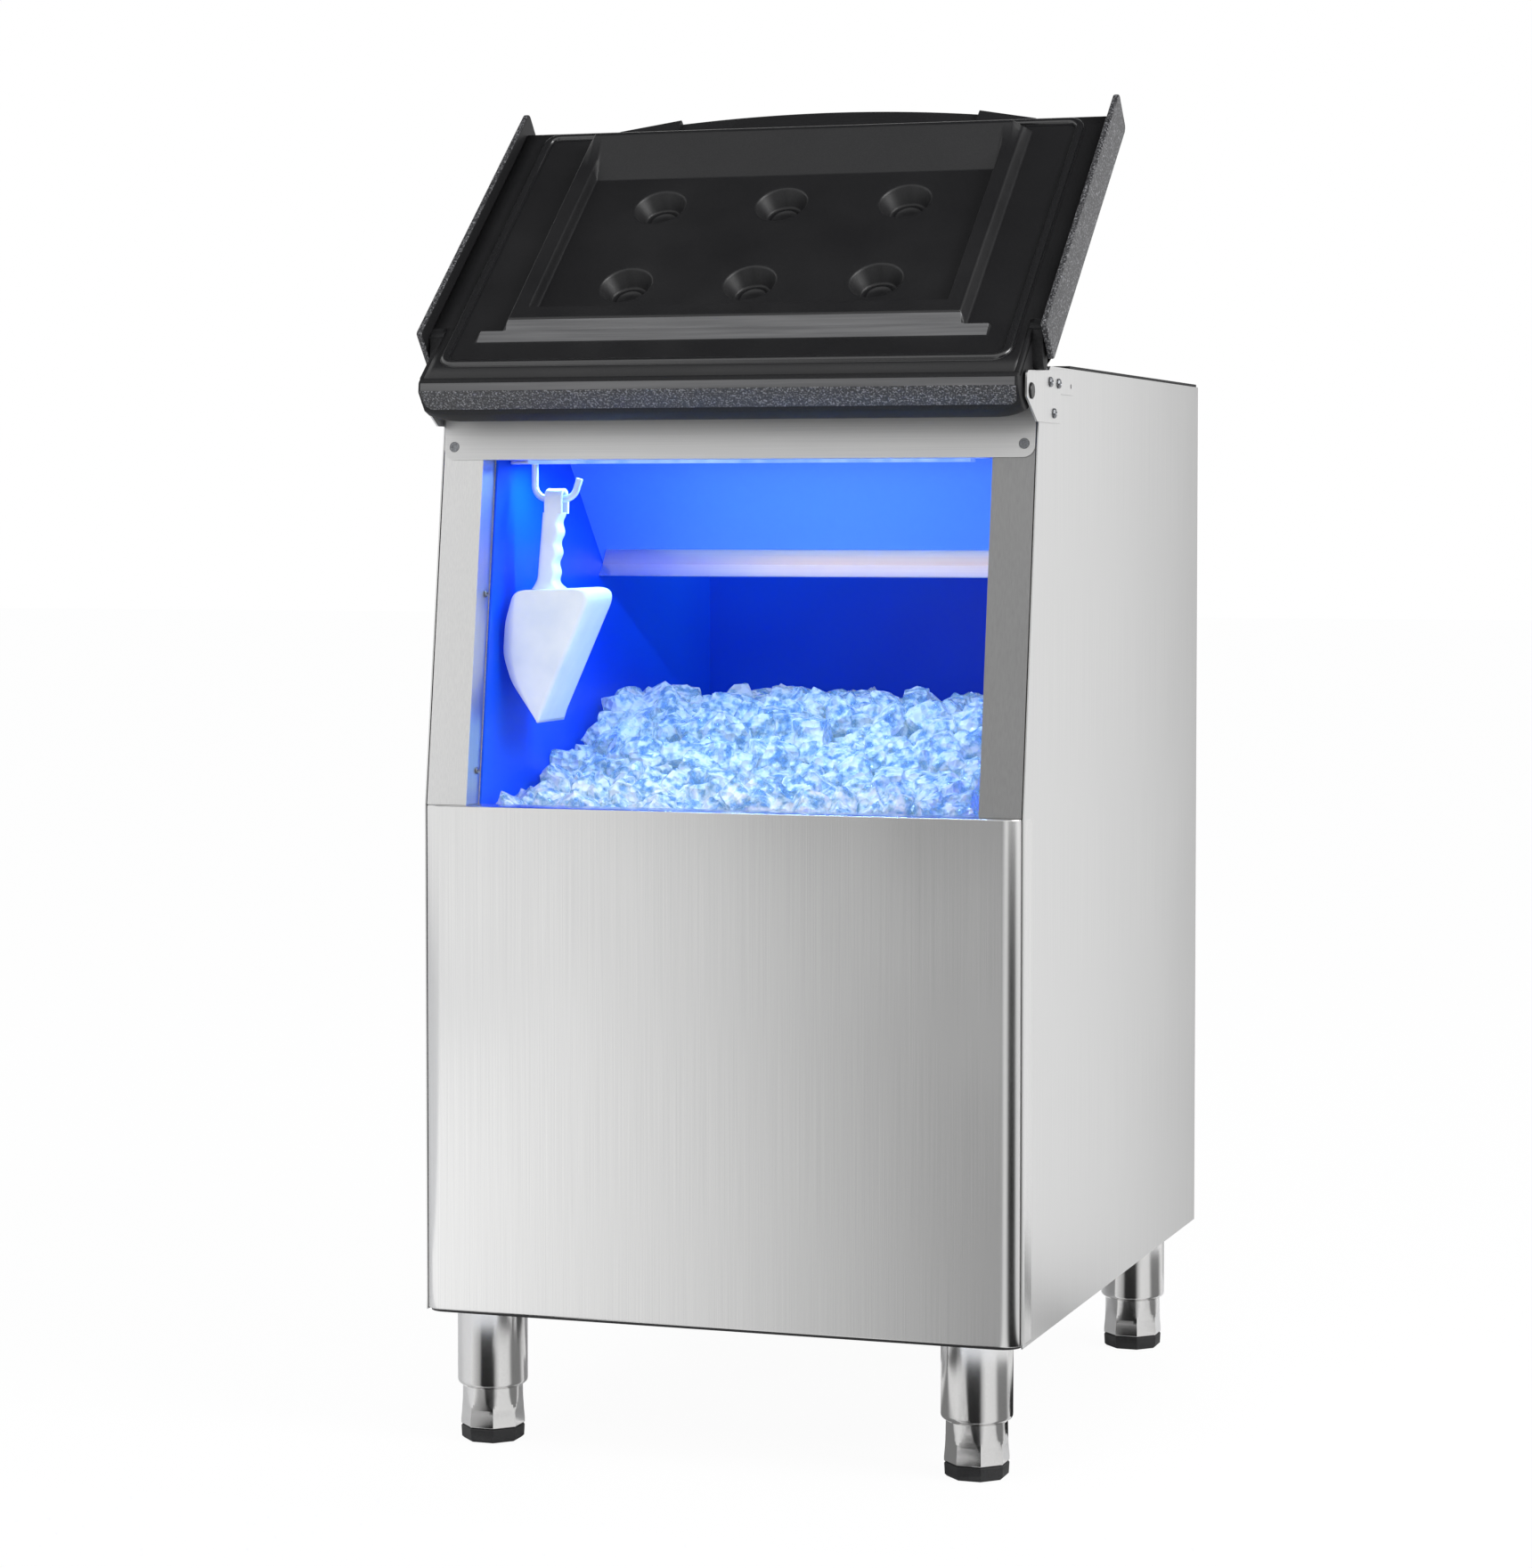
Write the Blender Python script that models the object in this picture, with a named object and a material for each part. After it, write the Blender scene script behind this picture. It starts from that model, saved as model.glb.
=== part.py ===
"""Ice storage bin: a stainless cabinet on four legs with a slanted front opening, a swing-up
moulded lid, a lined and foamed store, a deflector under the ice drop opening, a lamp and a
scoop on a hook.

Metres, +Z up, standing on the floor at z = 0, front towards -Y, +X to the viewer's right.
The lid stands open, leaning back on its stops, as it does in use.
"""

import math

import bmesh
import bpy
from mathutils import Matrix, Vector

for old in list(bpy.data.objects):
    bpy.data.objects.remove(old)

# General clearances and facet counts.
GAP = 0.0003
OVERRUN = 0.020
ROUND_STEPS = 32
CORNER_STEPS = 5

# The case: outer sheets of folded steel.
CASE_WIDTH = 0.560
CASE_DEPTH = 0.691
CASE_HEIGHT = 0.8516
LEG_HEIGHT = 0.122
SHEET = 0.0012

# The front panel below the opening, a folded pan that stands proud of the frame above it.
PAN_HEIGHT = 0.4596
PAN_INSET = 0.0017
PAN_CORNER = 0.018
PAN_RETURN = 0.0385
PAN_PROUD = 0.0099
TRIM_HEIGHT = 0.0027
TRIM_DEPTH = 0.012

# The slanted frame round the opening.
FRAME_TILT = math.radians(7.8)
FRAME_INSET = 0.0022
OPENING_INSET = 0.0392
OPENING_TOP_DROP = 0.0801
FRAME_RETURN = 0.029
RAIL_PROUD = 0.0015
RAIL_CORNER = 0.010
RAIL_TOP_DROP = 0.0316
SHOULDER_TILT = math.radians(40.4)

# The lined store.
LINER_INSET = 0.043
LINER_WALL = 0.002
LINER_FLOOR_RISE = 0.042
LINER_SETBACK = 0.0285

# The top: a flat ring round the ice drop opening, with a foam strip that seals the head.
DROP_INSET = 0.0575
DROP_FRONT = 0.205
DROP_SETBACK = 0.051
DROP_LIP = 0.012
STRIP_WIDTH = 0.012
STRIP_HEIGHT = 0.0025
STRIP_FRONT = 0.170
STRIP_MARGIN = 0.0015

# The deflector that throws falling ice to the back of the store.
BAFFLE_LOW_DEPTH = 0.349
BAFFLE_LOW_DROP = 0.176
BAFFLE_BEND_DROP = 0.0178
LIP_RISE = 0.0139
LIP_FALL = 0.0125
LIP_FORWARD = 0.012
LIP_MITRE = 0.009

# The lamp under the top, behind the opening's upper edge.
LAMP_INSET = 0.060
LAMP_DEPTH = 0.042
LAMP_HEIGHT = 0.014
LENS_INSET = 0.010
LENS_DEPTH = 0.016
LENS_HEIGHT = 0.003
LENS_START = 0.006

# Hinge brackets, pivots and their screws.
HINGE_SETBACK = 0.0245
HINGE_DROP = 0.0236
BRACKET_SHEET = 0.0017
BRACKET_FRONT = 0.0095
BRACKET_NOSE_TOP = 0.0062
BRACKET_TOP_DROP = 0.0011
BRACKET_END = 0.172
BRACKET_TAB_DROP = 0.0236
BRACKET_STEP = 0.125
BRACKET_LOW_DROP = 0.0496
BRACKET_TIP = 0.0445
BRACKET_CHIN_DROP = 0.0291
BRACKET_CORNER = 0.006
SLOT_LENGTH = 0.020
PIVOT_RADIUS = 0.0068
PIVOT_PROUD = 0.0015
BRACKET_SCREWS = ((0.088, 0.0141), (0.1164, 0.0147), (0.1007, 0.0412))
RIVET_HOLE = (0.161, 0.0158)
RIVET_RADIUS = 0.0022
SCREW_RADIUS = 0.0045
SCREW_HEAD = 0.0022
SCREW_SOCKET = 0.0024
SCREW_SOCKET_DEPTH = 0.0008
RAIL_SCREW_INSET = 0.0098
RAIL_SCREW_RISE = 0.0118
FLANGE_SCREW_DEPTH = 0.020
FLANGE_SCREW_RISES = (0.030, 0.190)

# Legs: a fixed sleeve, and a foot that screws out of it.
LEG_INSET = 0.0504
LEG_FRONT = 0.045
LEG_SETBACK = 0.059
SLEEVE_RADIUS = 0.0319
SLEEVE_LENGTH = 0.0705
SLEEVE_ROUND = 0.003
STEM_RADIUS = 0.0150
STEM_LENGTH = 0.045
FOOT_TOP_RADIUS = 0.0272
FOOT_LOW_RADIUS = 0.0290
FOOT_SIDES = 8
FOOT_CHAMFER = 0.0025
PAD_HEIGHT = 0.0127
PAD_RADIUS = 0.0285
PAD_EDGE = 0.002

# The drain at the back of the floor.
DRAIN_SETBACK = 0.101
DRAIN_RADIUS = 0.0125
DRAIN_BORE = 0.0095
DRAIN_BELOW = 0.022
DRAIN_FLANGE_RADIUS = 0.020
DRAIN_FLANGE = 0.0015
STRAINER_RADIUS = 0.024
STRAINER_HEIGHT = 0.006
STRAINER_WALL = 0.0015
STRAINER_CROWN_SHARE = 0.7
STRAINER_SLOTS = 6

# The lid in its own directions: along it from the hinge (reach), and towards its inner side
# (level). The hinge axis is at zero of both.
LID_OPEN_TILT = math.radians(40.4)
LID_OVERLAP = 0.0145
LID_NECK_INSET = 0.002
LID_NECK_END = 0.048
LID_MARGIN = 0.030
LID_SKIN = 0.025
LID_SIDE_LEVEL = 0.0165
LID_SIDE_ROUND = 0.0445
LID_WALL = 0.004
HANDLE_LENGTH = 0.0605
BROW_REACH = 0.0219
BROW_TOP = 0.0245
BROW_FACE_LOW = 0.0014
BROW_CHAMFER = 0.0034
BROW_RISE = 0.0027
BROW_SHOULDER = 0.0079
BROW_SHOULDER_LEVEL = 0.0297
WING_THICKNESS = 0.0055
WING_START = 0.0385
WING_BEYOND = 0.0185
WING_TOP = 0.043
HANDLE_REACH = 0.4255
HANDLE_LEVEL = 0.009
HANDLE_LOW = 0.004
HANDLE_CURVE_RUN = 0.0705
HANDLE_INSET = 0.079
HANDLE_SHOULDER_RUN = 0.0275
HANDLE_SHOULDER_IN = 0.0085
HANDLE_BLOCK_WIDTH = 0.0665
HANDLE_BOW = 0.0115
GRIP_INSET = 0.002
GRIP_LEVEL = 0.004
LUG_RADIUS = 0.008
LUG_INSET = 0.0200
LUG_THICKNESS = 0.0130
LUG_SETBACK = 0.050
LUG_HEIGHT = 0.0257
LUG_BASE_END = 0.0620

# The lid's inner panel.
PANEL_SHEET = 0.003
PANEL_START = 0.0107
PLATEAU = 0.0405
WELL = 0.0294
TIER_INSET = 0.0545
TIER_START = 0.0400
TIER_LEVEL = 0.0333
TIER_END = 0.0534
WALL_RUN = 0.001
RIM_START = 0.0625
WELL_START = 0.079
WELL_DRAFT = 0.002
WELL_INSET = 0.0995
RIM_INSET = 0.0825
RIM_FOOT_INSET = 0.0770
SLOPE_START_RUN = 0.0784
SLOPE_END_RUN = 0.0328
SLOPE_LEVEL = 0.0499
SLOPE_CREST = 0.0030
SLOPE_BACK_RUN = 0.0200
SLOPE_FOOT_INSET = 0.001
SLOPE_CREST_INSET = 0.0897
DIMPLE_RADIUS = 0.024
DIMPLE_FLOOR_RADIUS = 0.014
DIMPLE_DEPTH = 0.020
DIMPLE_PITCH_SHARE = 0.6092
DIMPLE_REACH_SHARES = (0.2115, 0.7832)

# The lid's seal.
SEAL_INSET = 0.0320
SEAL_START = 0.009
SEAL_END_RUN = 0.0075
SEAL_CORNER = 0.012
SEAL_WIDTH = 0.010

# The hook and the scoop that hangs on it. The scoop's own sizes are from its hanging point.
HOOK_DEPTH = 0.113
HOOK_RADIUS = 0.0032
HOOK_INSET = 0.0237
HOOK_BEND = 0.0125
HOOK_FLAT = 0.0165
HOOK_TIP_ANGLE = math.radians(75)
HOOK_TIP = 0.007
HOOK_DROP = 0.1153
PLATE_INSET = 0.0017
PLATE_LENGTH = 0.0613
PLATE_DEPTH = 0.016
PLATE_THICKNESS = 0.003
SCOOP_WIDTH = 0.066
SCOOP_WALL = 0.0025
SCOOP_HANG = 0.0803
SCOOP_TOP_FALL = 0.003
SCOOP_LENGTH = 0.1245
SCOOP_BACK = 0.0497
SCOOP_MOUTH_TOP = 0.0242
SCOOP_LIP = 0.0058
SCOOP_BULGE = 0.0395
SCOOP_CORNER = 0.016
SCOOP_MOUTH_CORNER = 0.008
MOUTH_SHARES = ((0.80, 0.70), (1.00, 0.50), (0.95, 0.26))
GRIP_DEPTH = 0.020
GRIP_WIDTH = 0.0170
GRIP_TOP = 0.0102
GRIP_LEAN = 0.0080
GRIP_FLARE = 0.0080
GRIP_CORNER = 0.004
EYE_CLEARANCE = 0.0004
EYE_WIDTH = 0.0130
EYE_BELOW = 0.0125
GROOVE_DEPTH = 0.0012
GROOVES = 4

# Places that follow from the sizes above.
TOP_Z = LEG_HEIGHT + CASE_HEIGHT
PAN_TOP_Z = LEG_HEIGHT + PAN_HEIGHT
SIDE_OUTER = CASE_WIDTH / 2
SIDE_INNER = SIDE_OUTER - SHEET
PAN_WIDTH = CASE_WIDTH - 2 * PAN_INSET
FRAME_WIDTH = CASE_WIDTH - 2 * FRAME_INSET
OPENING_HALF = SIDE_OUTER - OPENING_INSET
OPENING_TOP_Z = TOP_Z - OPENING_TOP_DROP
LINER_HALF = SIDE_OUTER - LINER_INSET
LINER_OUTER = LINER_HALF + LINER_WALL
DROP_HALF = SIDE_OUTER - DROP_INSET
LAMP_HALF = SIDE_OUTER - LAMP_INSET
LENS_HALF = LAMP_HALF - LENS_INSET
HINGE_Z = TOP_Z - HINGE_DROP
BROW_OVERHANG = BROW_REACH * math.cos(LID_OPEN_TILT) + BROW_TOP * math.sin(LID_OPEN_TILT) - HINGE_SETBACK
FRONT_Y = -(CASE_DEPTH - BROW_OVERHANG) / 2
BACK_Y = FRONT_Y + CASE_DEPTH
HINGE_Y = FRONT_Y + HINGE_SETBACK
LINER_FLOOR_Z = LEG_HEIGHT + LINER_FLOOR_RISE
LINER_BACK = BACK_Y - LINER_SETBACK
DROP_BACK = BACK_Y - DROP_SETBACK
DRAIN_Y = BACK_Y - DRAIN_SETBACK
BAFFLE_TILT = math.atan2(BAFFLE_LOW_DEPTH - DROP_FRONT + SHEET + GAP, BAFFLE_LOW_DROP - BAFFLE_BEND_DROP)

# The lid's width follows the case, and its length follows the handle's reach.
LID_HALF = SIDE_OUTER + LID_OVERLAP
NECK_HALF = SIDE_OUTER - LID_NECK_INSET
WING_INNER = LID_HALF - WING_THICKNESS
LUG_INNER = LID_HALF - LUG_INSET
LUG_OUTER = LUG_INNER + LUG_THICKNESS
FREE_EDGE = HANDLE_REACH - HANDLE_LENGTH
WING_END = FREE_EDGE + WING_BEYOND
HANDLE_CURVE_START = HANDLE_REACH - HANDLE_CURVE_RUN
HANDLE_SHOULDER_REACH = HANDLE_REACH - HANDLE_SHOULDER_RUN
HANDLE_BLOCK_REACH = HANDLE_REACH - HANDLE_BOW
HANDLE_HALF = LID_HALF - HANDLE_INSET
HANDLE_BLOCK_END = HANDLE_HALF - HANDLE_BLOCK_WIDTH
GRIP_HALF = HANDLE_BLOCK_END - GRIP_INSET
TIER_HALF = LID_HALF - TIER_INSET
WELL_HALF = LID_HALF - WELL_INSET
RIM_HALF = LID_HALF - RIM_INSET
RIM_FOOT = LID_HALF - RIM_FOOT_INSET
SLOPE_START = FREE_EDGE - SLOPE_START_RUN
SLOPE_END = FREE_EDGE - SLOPE_END_RUN
SLOPE_BACK = FREE_EDGE - SLOPE_BACK_RUN
SLOPE_FOOT_HALF = WELL_HALF - SLOPE_FOOT_INSET
SLOPE_CREST_HALF = LID_HALF - SLOPE_CREST_INSET
DIMPLE_PITCH = WELL_HALF * DIMPLE_PITCH_SHARE
DIMPLE_REACHES = [WELL_START + (SLOPE_START - WELL_START) * share for share in DIMPLE_REACH_SHARES]
SEAL_HALF = LID_HALF - SEAL_INSET
SEAL_END = FREE_EDGE - SEAL_END_RUN

# The hook hangs beside the liner's left wall.
PLATE_LEFT = LINER_HALF - PLATE_INSET
PLATE_RIGHT = PLATE_LEFT - PLATE_LENGTH
HOOK_SHANK_SIDE = LINER_HALF - HOOK_INSET


def frame_y(z):
    """The y of the slanted frame's face at height z."""
    return FRONT_Y + PAN_PROUD + math.tan(FRAME_TILT) * (z - PAN_TOP_Z)


RAIL_DISTANCE = (frame_y(HINGE_Z) - RAIL_PROUD - HINGE_Y) * math.cos(FRAME_TILT)
SEAL_LEVEL = RAIL_DISTANCE - GAP


# Materials.


def material(name, colour, roughness, metallic):
    """A plain surface material."""
    made = bpy.data.materials.new(name)
    made.use_nodes = True
    surface = made.node_tree.nodes["Principled BSDF"]
    surface.inputs["Base Color"].default_value = (*colour, 1.0)
    surface.inputs["Roughness"].default_value = roughness
    surface.inputs["Metallic"].default_value = metallic
    made.diffuse_color = (*colour, 1.0)
    return made


# Shapes. Each returns a bmesh; an outline is a list of points in one plane.


def prism(outline, start, end, axis):
    """An outline pushed from start to end along an axis. Its points are the other two
    coordinates, in their usual order."""
    place = {
        "X": lambda a, b, c: (c, a, b),
        "Y": lambda a, b, c: (a, c, b),
        "Z": lambda a, b, c: (a, b, c),
    }[axis]
    shape = bmesh.new()
    low = [shape.verts.new(place(a, b, start)) for a, b in outline]
    high = [shape.verts.new(place(a, b, end)) for a, b in outline]
    shape.faces.new(low)
    shape.faces.new(high)
    for i in range(len(outline)):
        j = (i + 1) % len(outline)
        shape.faces.new((low[i], low[j], high[j], high[i]))
    bmesh.ops.recalc_face_normals(shape, faces=shape.faces)
    return shape


def box(x_range, y_range, z_range):
    """A rectangular block."""
    (x0, x1), (y0, y1) = x_range, y_range
    outline = [(x0, y0), (x1, y0), (x1, y1), (x0, y1)]
    return prism(outline, *z_range, "Z")


def leaning(outline, z_low, z_high):
    """An outline of (x, depth behind the frame's face) pushed up along the slanted frame."""
    shape = bmesh.new()
    low = [shape.verts.new((x, frame_y(z_low) + d, z_low)) for x, d in outline]
    high = [shape.verts.new((x, frame_y(z_high) + d, z_high)) for x, d in outline]
    shape.faces.new(low)
    shape.faces.new(high)
    for i in range(len(outline)):
        j = (i + 1) % len(outline)
        shape.faces.new((low[i], low[j], high[j], high[i]))
    bmesh.ops.recalc_face_normals(shape, faces=shape.faces)
    return shape


def turned(profile, steps, closed=False, start=0):
    """A profile of (radius, height) turned about Z from a start angle. A closed profile makes a
    ring; an open one starts and ends on the axis."""
    shape = bmesh.new()
    rings = []
    for radius, height in profile:
        if radius == 0:
            rings.append([shape.verts.new((0, 0, height))])
            continue
        angles = [start + math.tau * i / steps for i in range(steps)]
        rings.append([shape.verts.new((radius * math.cos(a), radius * math.sin(a), height))
                      for a in angles])
    pairs = list(zip(rings, rings[1:]))
    if closed:
        pairs.append((rings[-1], rings[0]))
    for lower, upper in pairs:
        for i in range(steps):
            j = (i + 1) % steps
            corners = [lower[i % len(lower)], lower[j % len(lower)],
                       upper[j % len(upper)], upper[i % len(upper)]]
            shape.faces.new(list(dict.fromkeys(corners)))
    bmesh.ops.recalc_face_normals(shape, faces=shape.faces)
    return shape


def swept(points, section, closed, up):
    """A section of (side, up) points carried along a path that lies in one plane, whose
    normal is up."""
    shape = bmesh.new()
    rings = []
    count = len(points)
    for i, point in enumerate(points):
        before = points[i - 1] if closed or i else point
        after = points[(i + 1) % count] if closed or i < count - 1 else point
        first = (point - before).normalized() if before != point else (after - point).normalized()
        second = (after - point).normalized() if after != point else first
        along = (first + second).normalized()
        side = along.cross(up).normalized()
        stretch = 1 / max(side.dot(first.cross(up).normalized()), math.cos(math.pi / 3))
        rings.append([shape.verts.new(point + side * a * stretch + up * b) for a, b in section])
    pairs = list(zip(rings, rings[1:]))
    if closed:
        pairs.append((rings[-1], rings[0]))
    for start, end in pairs:
        for i in range(len(section)):
            j = (i + 1) % len(section)
            shape.faces.new((start[i], start[j], end[j], end[i]))
    if not closed:
        shape.faces.new(rings[0])
        shape.faces.new(rings[-1])
    bmesh.ops.recalc_face_normals(shape, faces=shape.faces)
    return shape


def lofted(sections):
    """A skin over a row of sections with equal numbers of points, closed at both ends."""
    shape = bmesh.new()
    rings = [[shape.verts.new(point) for point in section] for section in sections]
    for start, end in zip(rings, rings[1:]):
        for i in range(len(start)):
            j = (i + 1) % len(start)
            shape.faces.new((start[i], start[j], end[j], end[i]))
    shape.faces.new(rings[0])
    shape.faces.new(rings[-1])
    bmesh.ops.recalc_face_normals(shape, faces=shape.faces)
    return shape


def arc(centre, radius, start, end, steps=CORNER_STEPS):
    """Points along an arc, angles in degrees."""
    angles = [math.radians(start + (end - start) * i / steps) for i in range(steps + 1)]
    return [(centre[0] + radius * math.cos(a), centre[1] + radius * math.sin(a)) for a in angles]


def filleted(corners):
    """An outline of straight runs from a list of (point, radius), with its corners rounded."""
    outline = []
    count = len(corners)
    for i, (point, radius) in enumerate(corners):
        point = Vector(point)
        if radius == 0:
            outline.append(tuple(point))
            continue
        to_last = (Vector(corners[i - 1][0]) - point).normalized()
        to_next = (Vector(corners[(i + 1) % count][0]) - point).normalized()
        half = math.acos(max(-1, min(1, to_last.dot(to_next)))) / 2
        middle = point + (to_last + to_next).normalized() * radius / math.sin(half)
        first = point + to_last * radius / math.tan(half) - middle
        last = point + to_next * radius / math.tan(half) - middle
        for step in range(CORNER_STEPS + 1):
            share = step / CORNER_STEPS
            turned_by = first.angle_signed(last) * share
            cosine, sine = math.cos(-turned_by), math.sin(-turned_by)
            outline.append((middle.x + first.x * cosine - first.y * sine,
                            middle.y + first.x * sine + first.y * cosine))
    return outline


def rounded_rectangle(half_width, start, end, radius, steps=CORNER_STEPS):
    """A rectangle with round corners, symmetric in its first coordinate."""
    inner = half_width - radius
    return (arc((inner, start + radius), radius, -90, 0, steps)
            + arc((inner, end - radius), radius, 0, 90, steps)
            + arc((-inner, end - radius), radius, 90, 180, steps)
            + arc((-inner, start + radius), radius, 180, 270, steps))


# Objects.


def add(name, shape, surface, parent=None, place=(0, 0, 0), turn=(0, 0, 0)):
    """Make a named object of a shape, smooth where its faces nearly meet."""
    mesh = bpy.data.meshes.new(name)
    shape.to_mesh(mesh)
    shape.free()
    mesh.materials.append(surface)
    mesh.shade_smooth()
    mesh.set_sharp_from_angle(angle=math.radians(32))
    made = bpy.data.objects.new(name, mesh)
    bpy.context.scene.collection.objects.link(made)
    made.parent = parent
    made.location = place
    made.rotation_euler = turn
    return made


def combine(target, shape, operation, name):
    """Cut a shape from an object, or join or intersect it, with a hidden guide."""
    guide = add(target.name + "_" + name, shape, target.data.materials[0], target.parent,
                target.location, target.rotation_euler)
    guide.hide_render = True
    guide.hide_set(True)
    guide.display_type = "WIRE"
    step = target.modifiers.new(name, "BOOLEAN")
    step.operation = operation
    step.object = guide
    return guide


def cut(target, shape, name):
    combine(target, shape, "DIFFERENCE", name)


def join(target, shape, name):
    combine(target, shape, "UNION", name)


def empty(name, place, turn=(0, 0, 0)):
    """A frame for moving pieces, on their joint's axis."""
    made = bpy.data.objects.new(name, None)
    bpy.context.scene.collection.objects.link(made)
    made.location = place
    made.rotation_euler = turn
    return made


# The case.


def case_outline(setback, low, top, back):
    """The side view of the case: upright below, slanted above, with a shoulder under the lid."""
    shoulder_z = TOP_Z - RAIL_TOP_DROP - setback
    shoulder_y = frame_y(shoulder_z) + setback
    top_y = shoulder_y + (top - shoulder_z) / math.tan(SHOULDER_TILT)
    return [(frame_y(PAN_TOP_Z) + setback, low), (back, low), (back, top), (top_y, top),
            (shoulder_y, shoulder_z), (frame_y(PAN_TOP_Z) + setback, PAN_TOP_Z)]


def drain_hole(low, high):
    """A cutter round the drain tube."""
    radius = DRAIN_RADIUS + GAP
    bore = turned([(0, low), (radius, low), (radius, high), (0, high)], ROUND_STEPS)
    bmesh.ops.translate(bore, verts=bore.verts, vec=(0, DRAIN_Y, 0))
    return bore


def build_panels(steel, plastic):
    outline = case_outline(0, LEG_HEIGHT, TOP_Z, BACK_Y - SHEET - GAP)
    for side, sign in (("left", -1), ("right", 1)):
        add("side_panel_" + side, prism(outline, sign * SIDE_INNER, sign * SIDE_OUTER, "X"), steel)
    back = box((-SIDE_OUTER, SIDE_OUTER), (BACK_Y - SHEET, BACK_Y), (LEG_HEIGHT, TOP_Z))
    add("back_panel", back, steel)

    half = PAN_WIDTH / 2
    low = LEG_HEIGHT + TRIM_HEIGHT + GAP

    def pan_outline(inset, back_end):
        corner = PAN_CORNER - inset
        inner = half - PAN_CORNER
        return (arc((-inner, FRONT_Y + PAN_CORNER), corner, 180, 270)
                + arc((inner, FRONT_Y + PAN_CORNER), corner, 270, 360)
                + [(half - inset, back_end), (-half + inset, back_end)])

    pan = add("front_panel", prism(pan_outline(0, FRONT_Y + PAN_RETURN), low, PAN_TOP_Z, "Z"), steel)
    hollow = prism(pan_outline(SHEET, FRONT_Y + PAN_RETURN + OVERRUN), low + SHEET,
                   PAN_TOP_Z - SHEET, "Z")
    cut(pan, hollow, "hollow")
    trim = pan_outline(SHEET, FRONT_Y + PAN_RETURN)
    strip = add("bottom_trim", prism(trim, LEG_HEIGHT, low - GAP, "Z"), plastic)
    opening = box((-half + TRIM_DEPTH, half - TRIM_DEPTH),
                  (FRONT_Y + TRIM_DEPTH, BACK_Y), (LEG_HEIGHT - OVERRUN, low + OVERRUN))
    cut(strip, opening, "opening")

    floor = box((-half + TRIM_DEPTH + GAP, half - TRIM_DEPTH - GAP),
                (FRONT_Y + TRIM_DEPTH + GAP, FRONT_Y + PAN_RETURN + TRIM_DEPTH),
                (LEG_HEIGHT, LEG_HEIGHT + SHEET))
    bottom = add("bottom_panel", floor, steel)
    wide = box((-SIDE_INNER + GAP, SIDE_INNER - GAP),
               (FRONT_Y + PAN_RETURN + GAP, BACK_Y - SHEET - GAP),
               (LEG_HEIGHT, LEG_HEIGHT + SHEET))
    join(bottom, wide, "wide_part")
    cut(bottom, drain_hole(LEG_HEIGHT - OVERRUN, LEG_HEIGHT + OVERRUN), "drain_hole")


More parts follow.
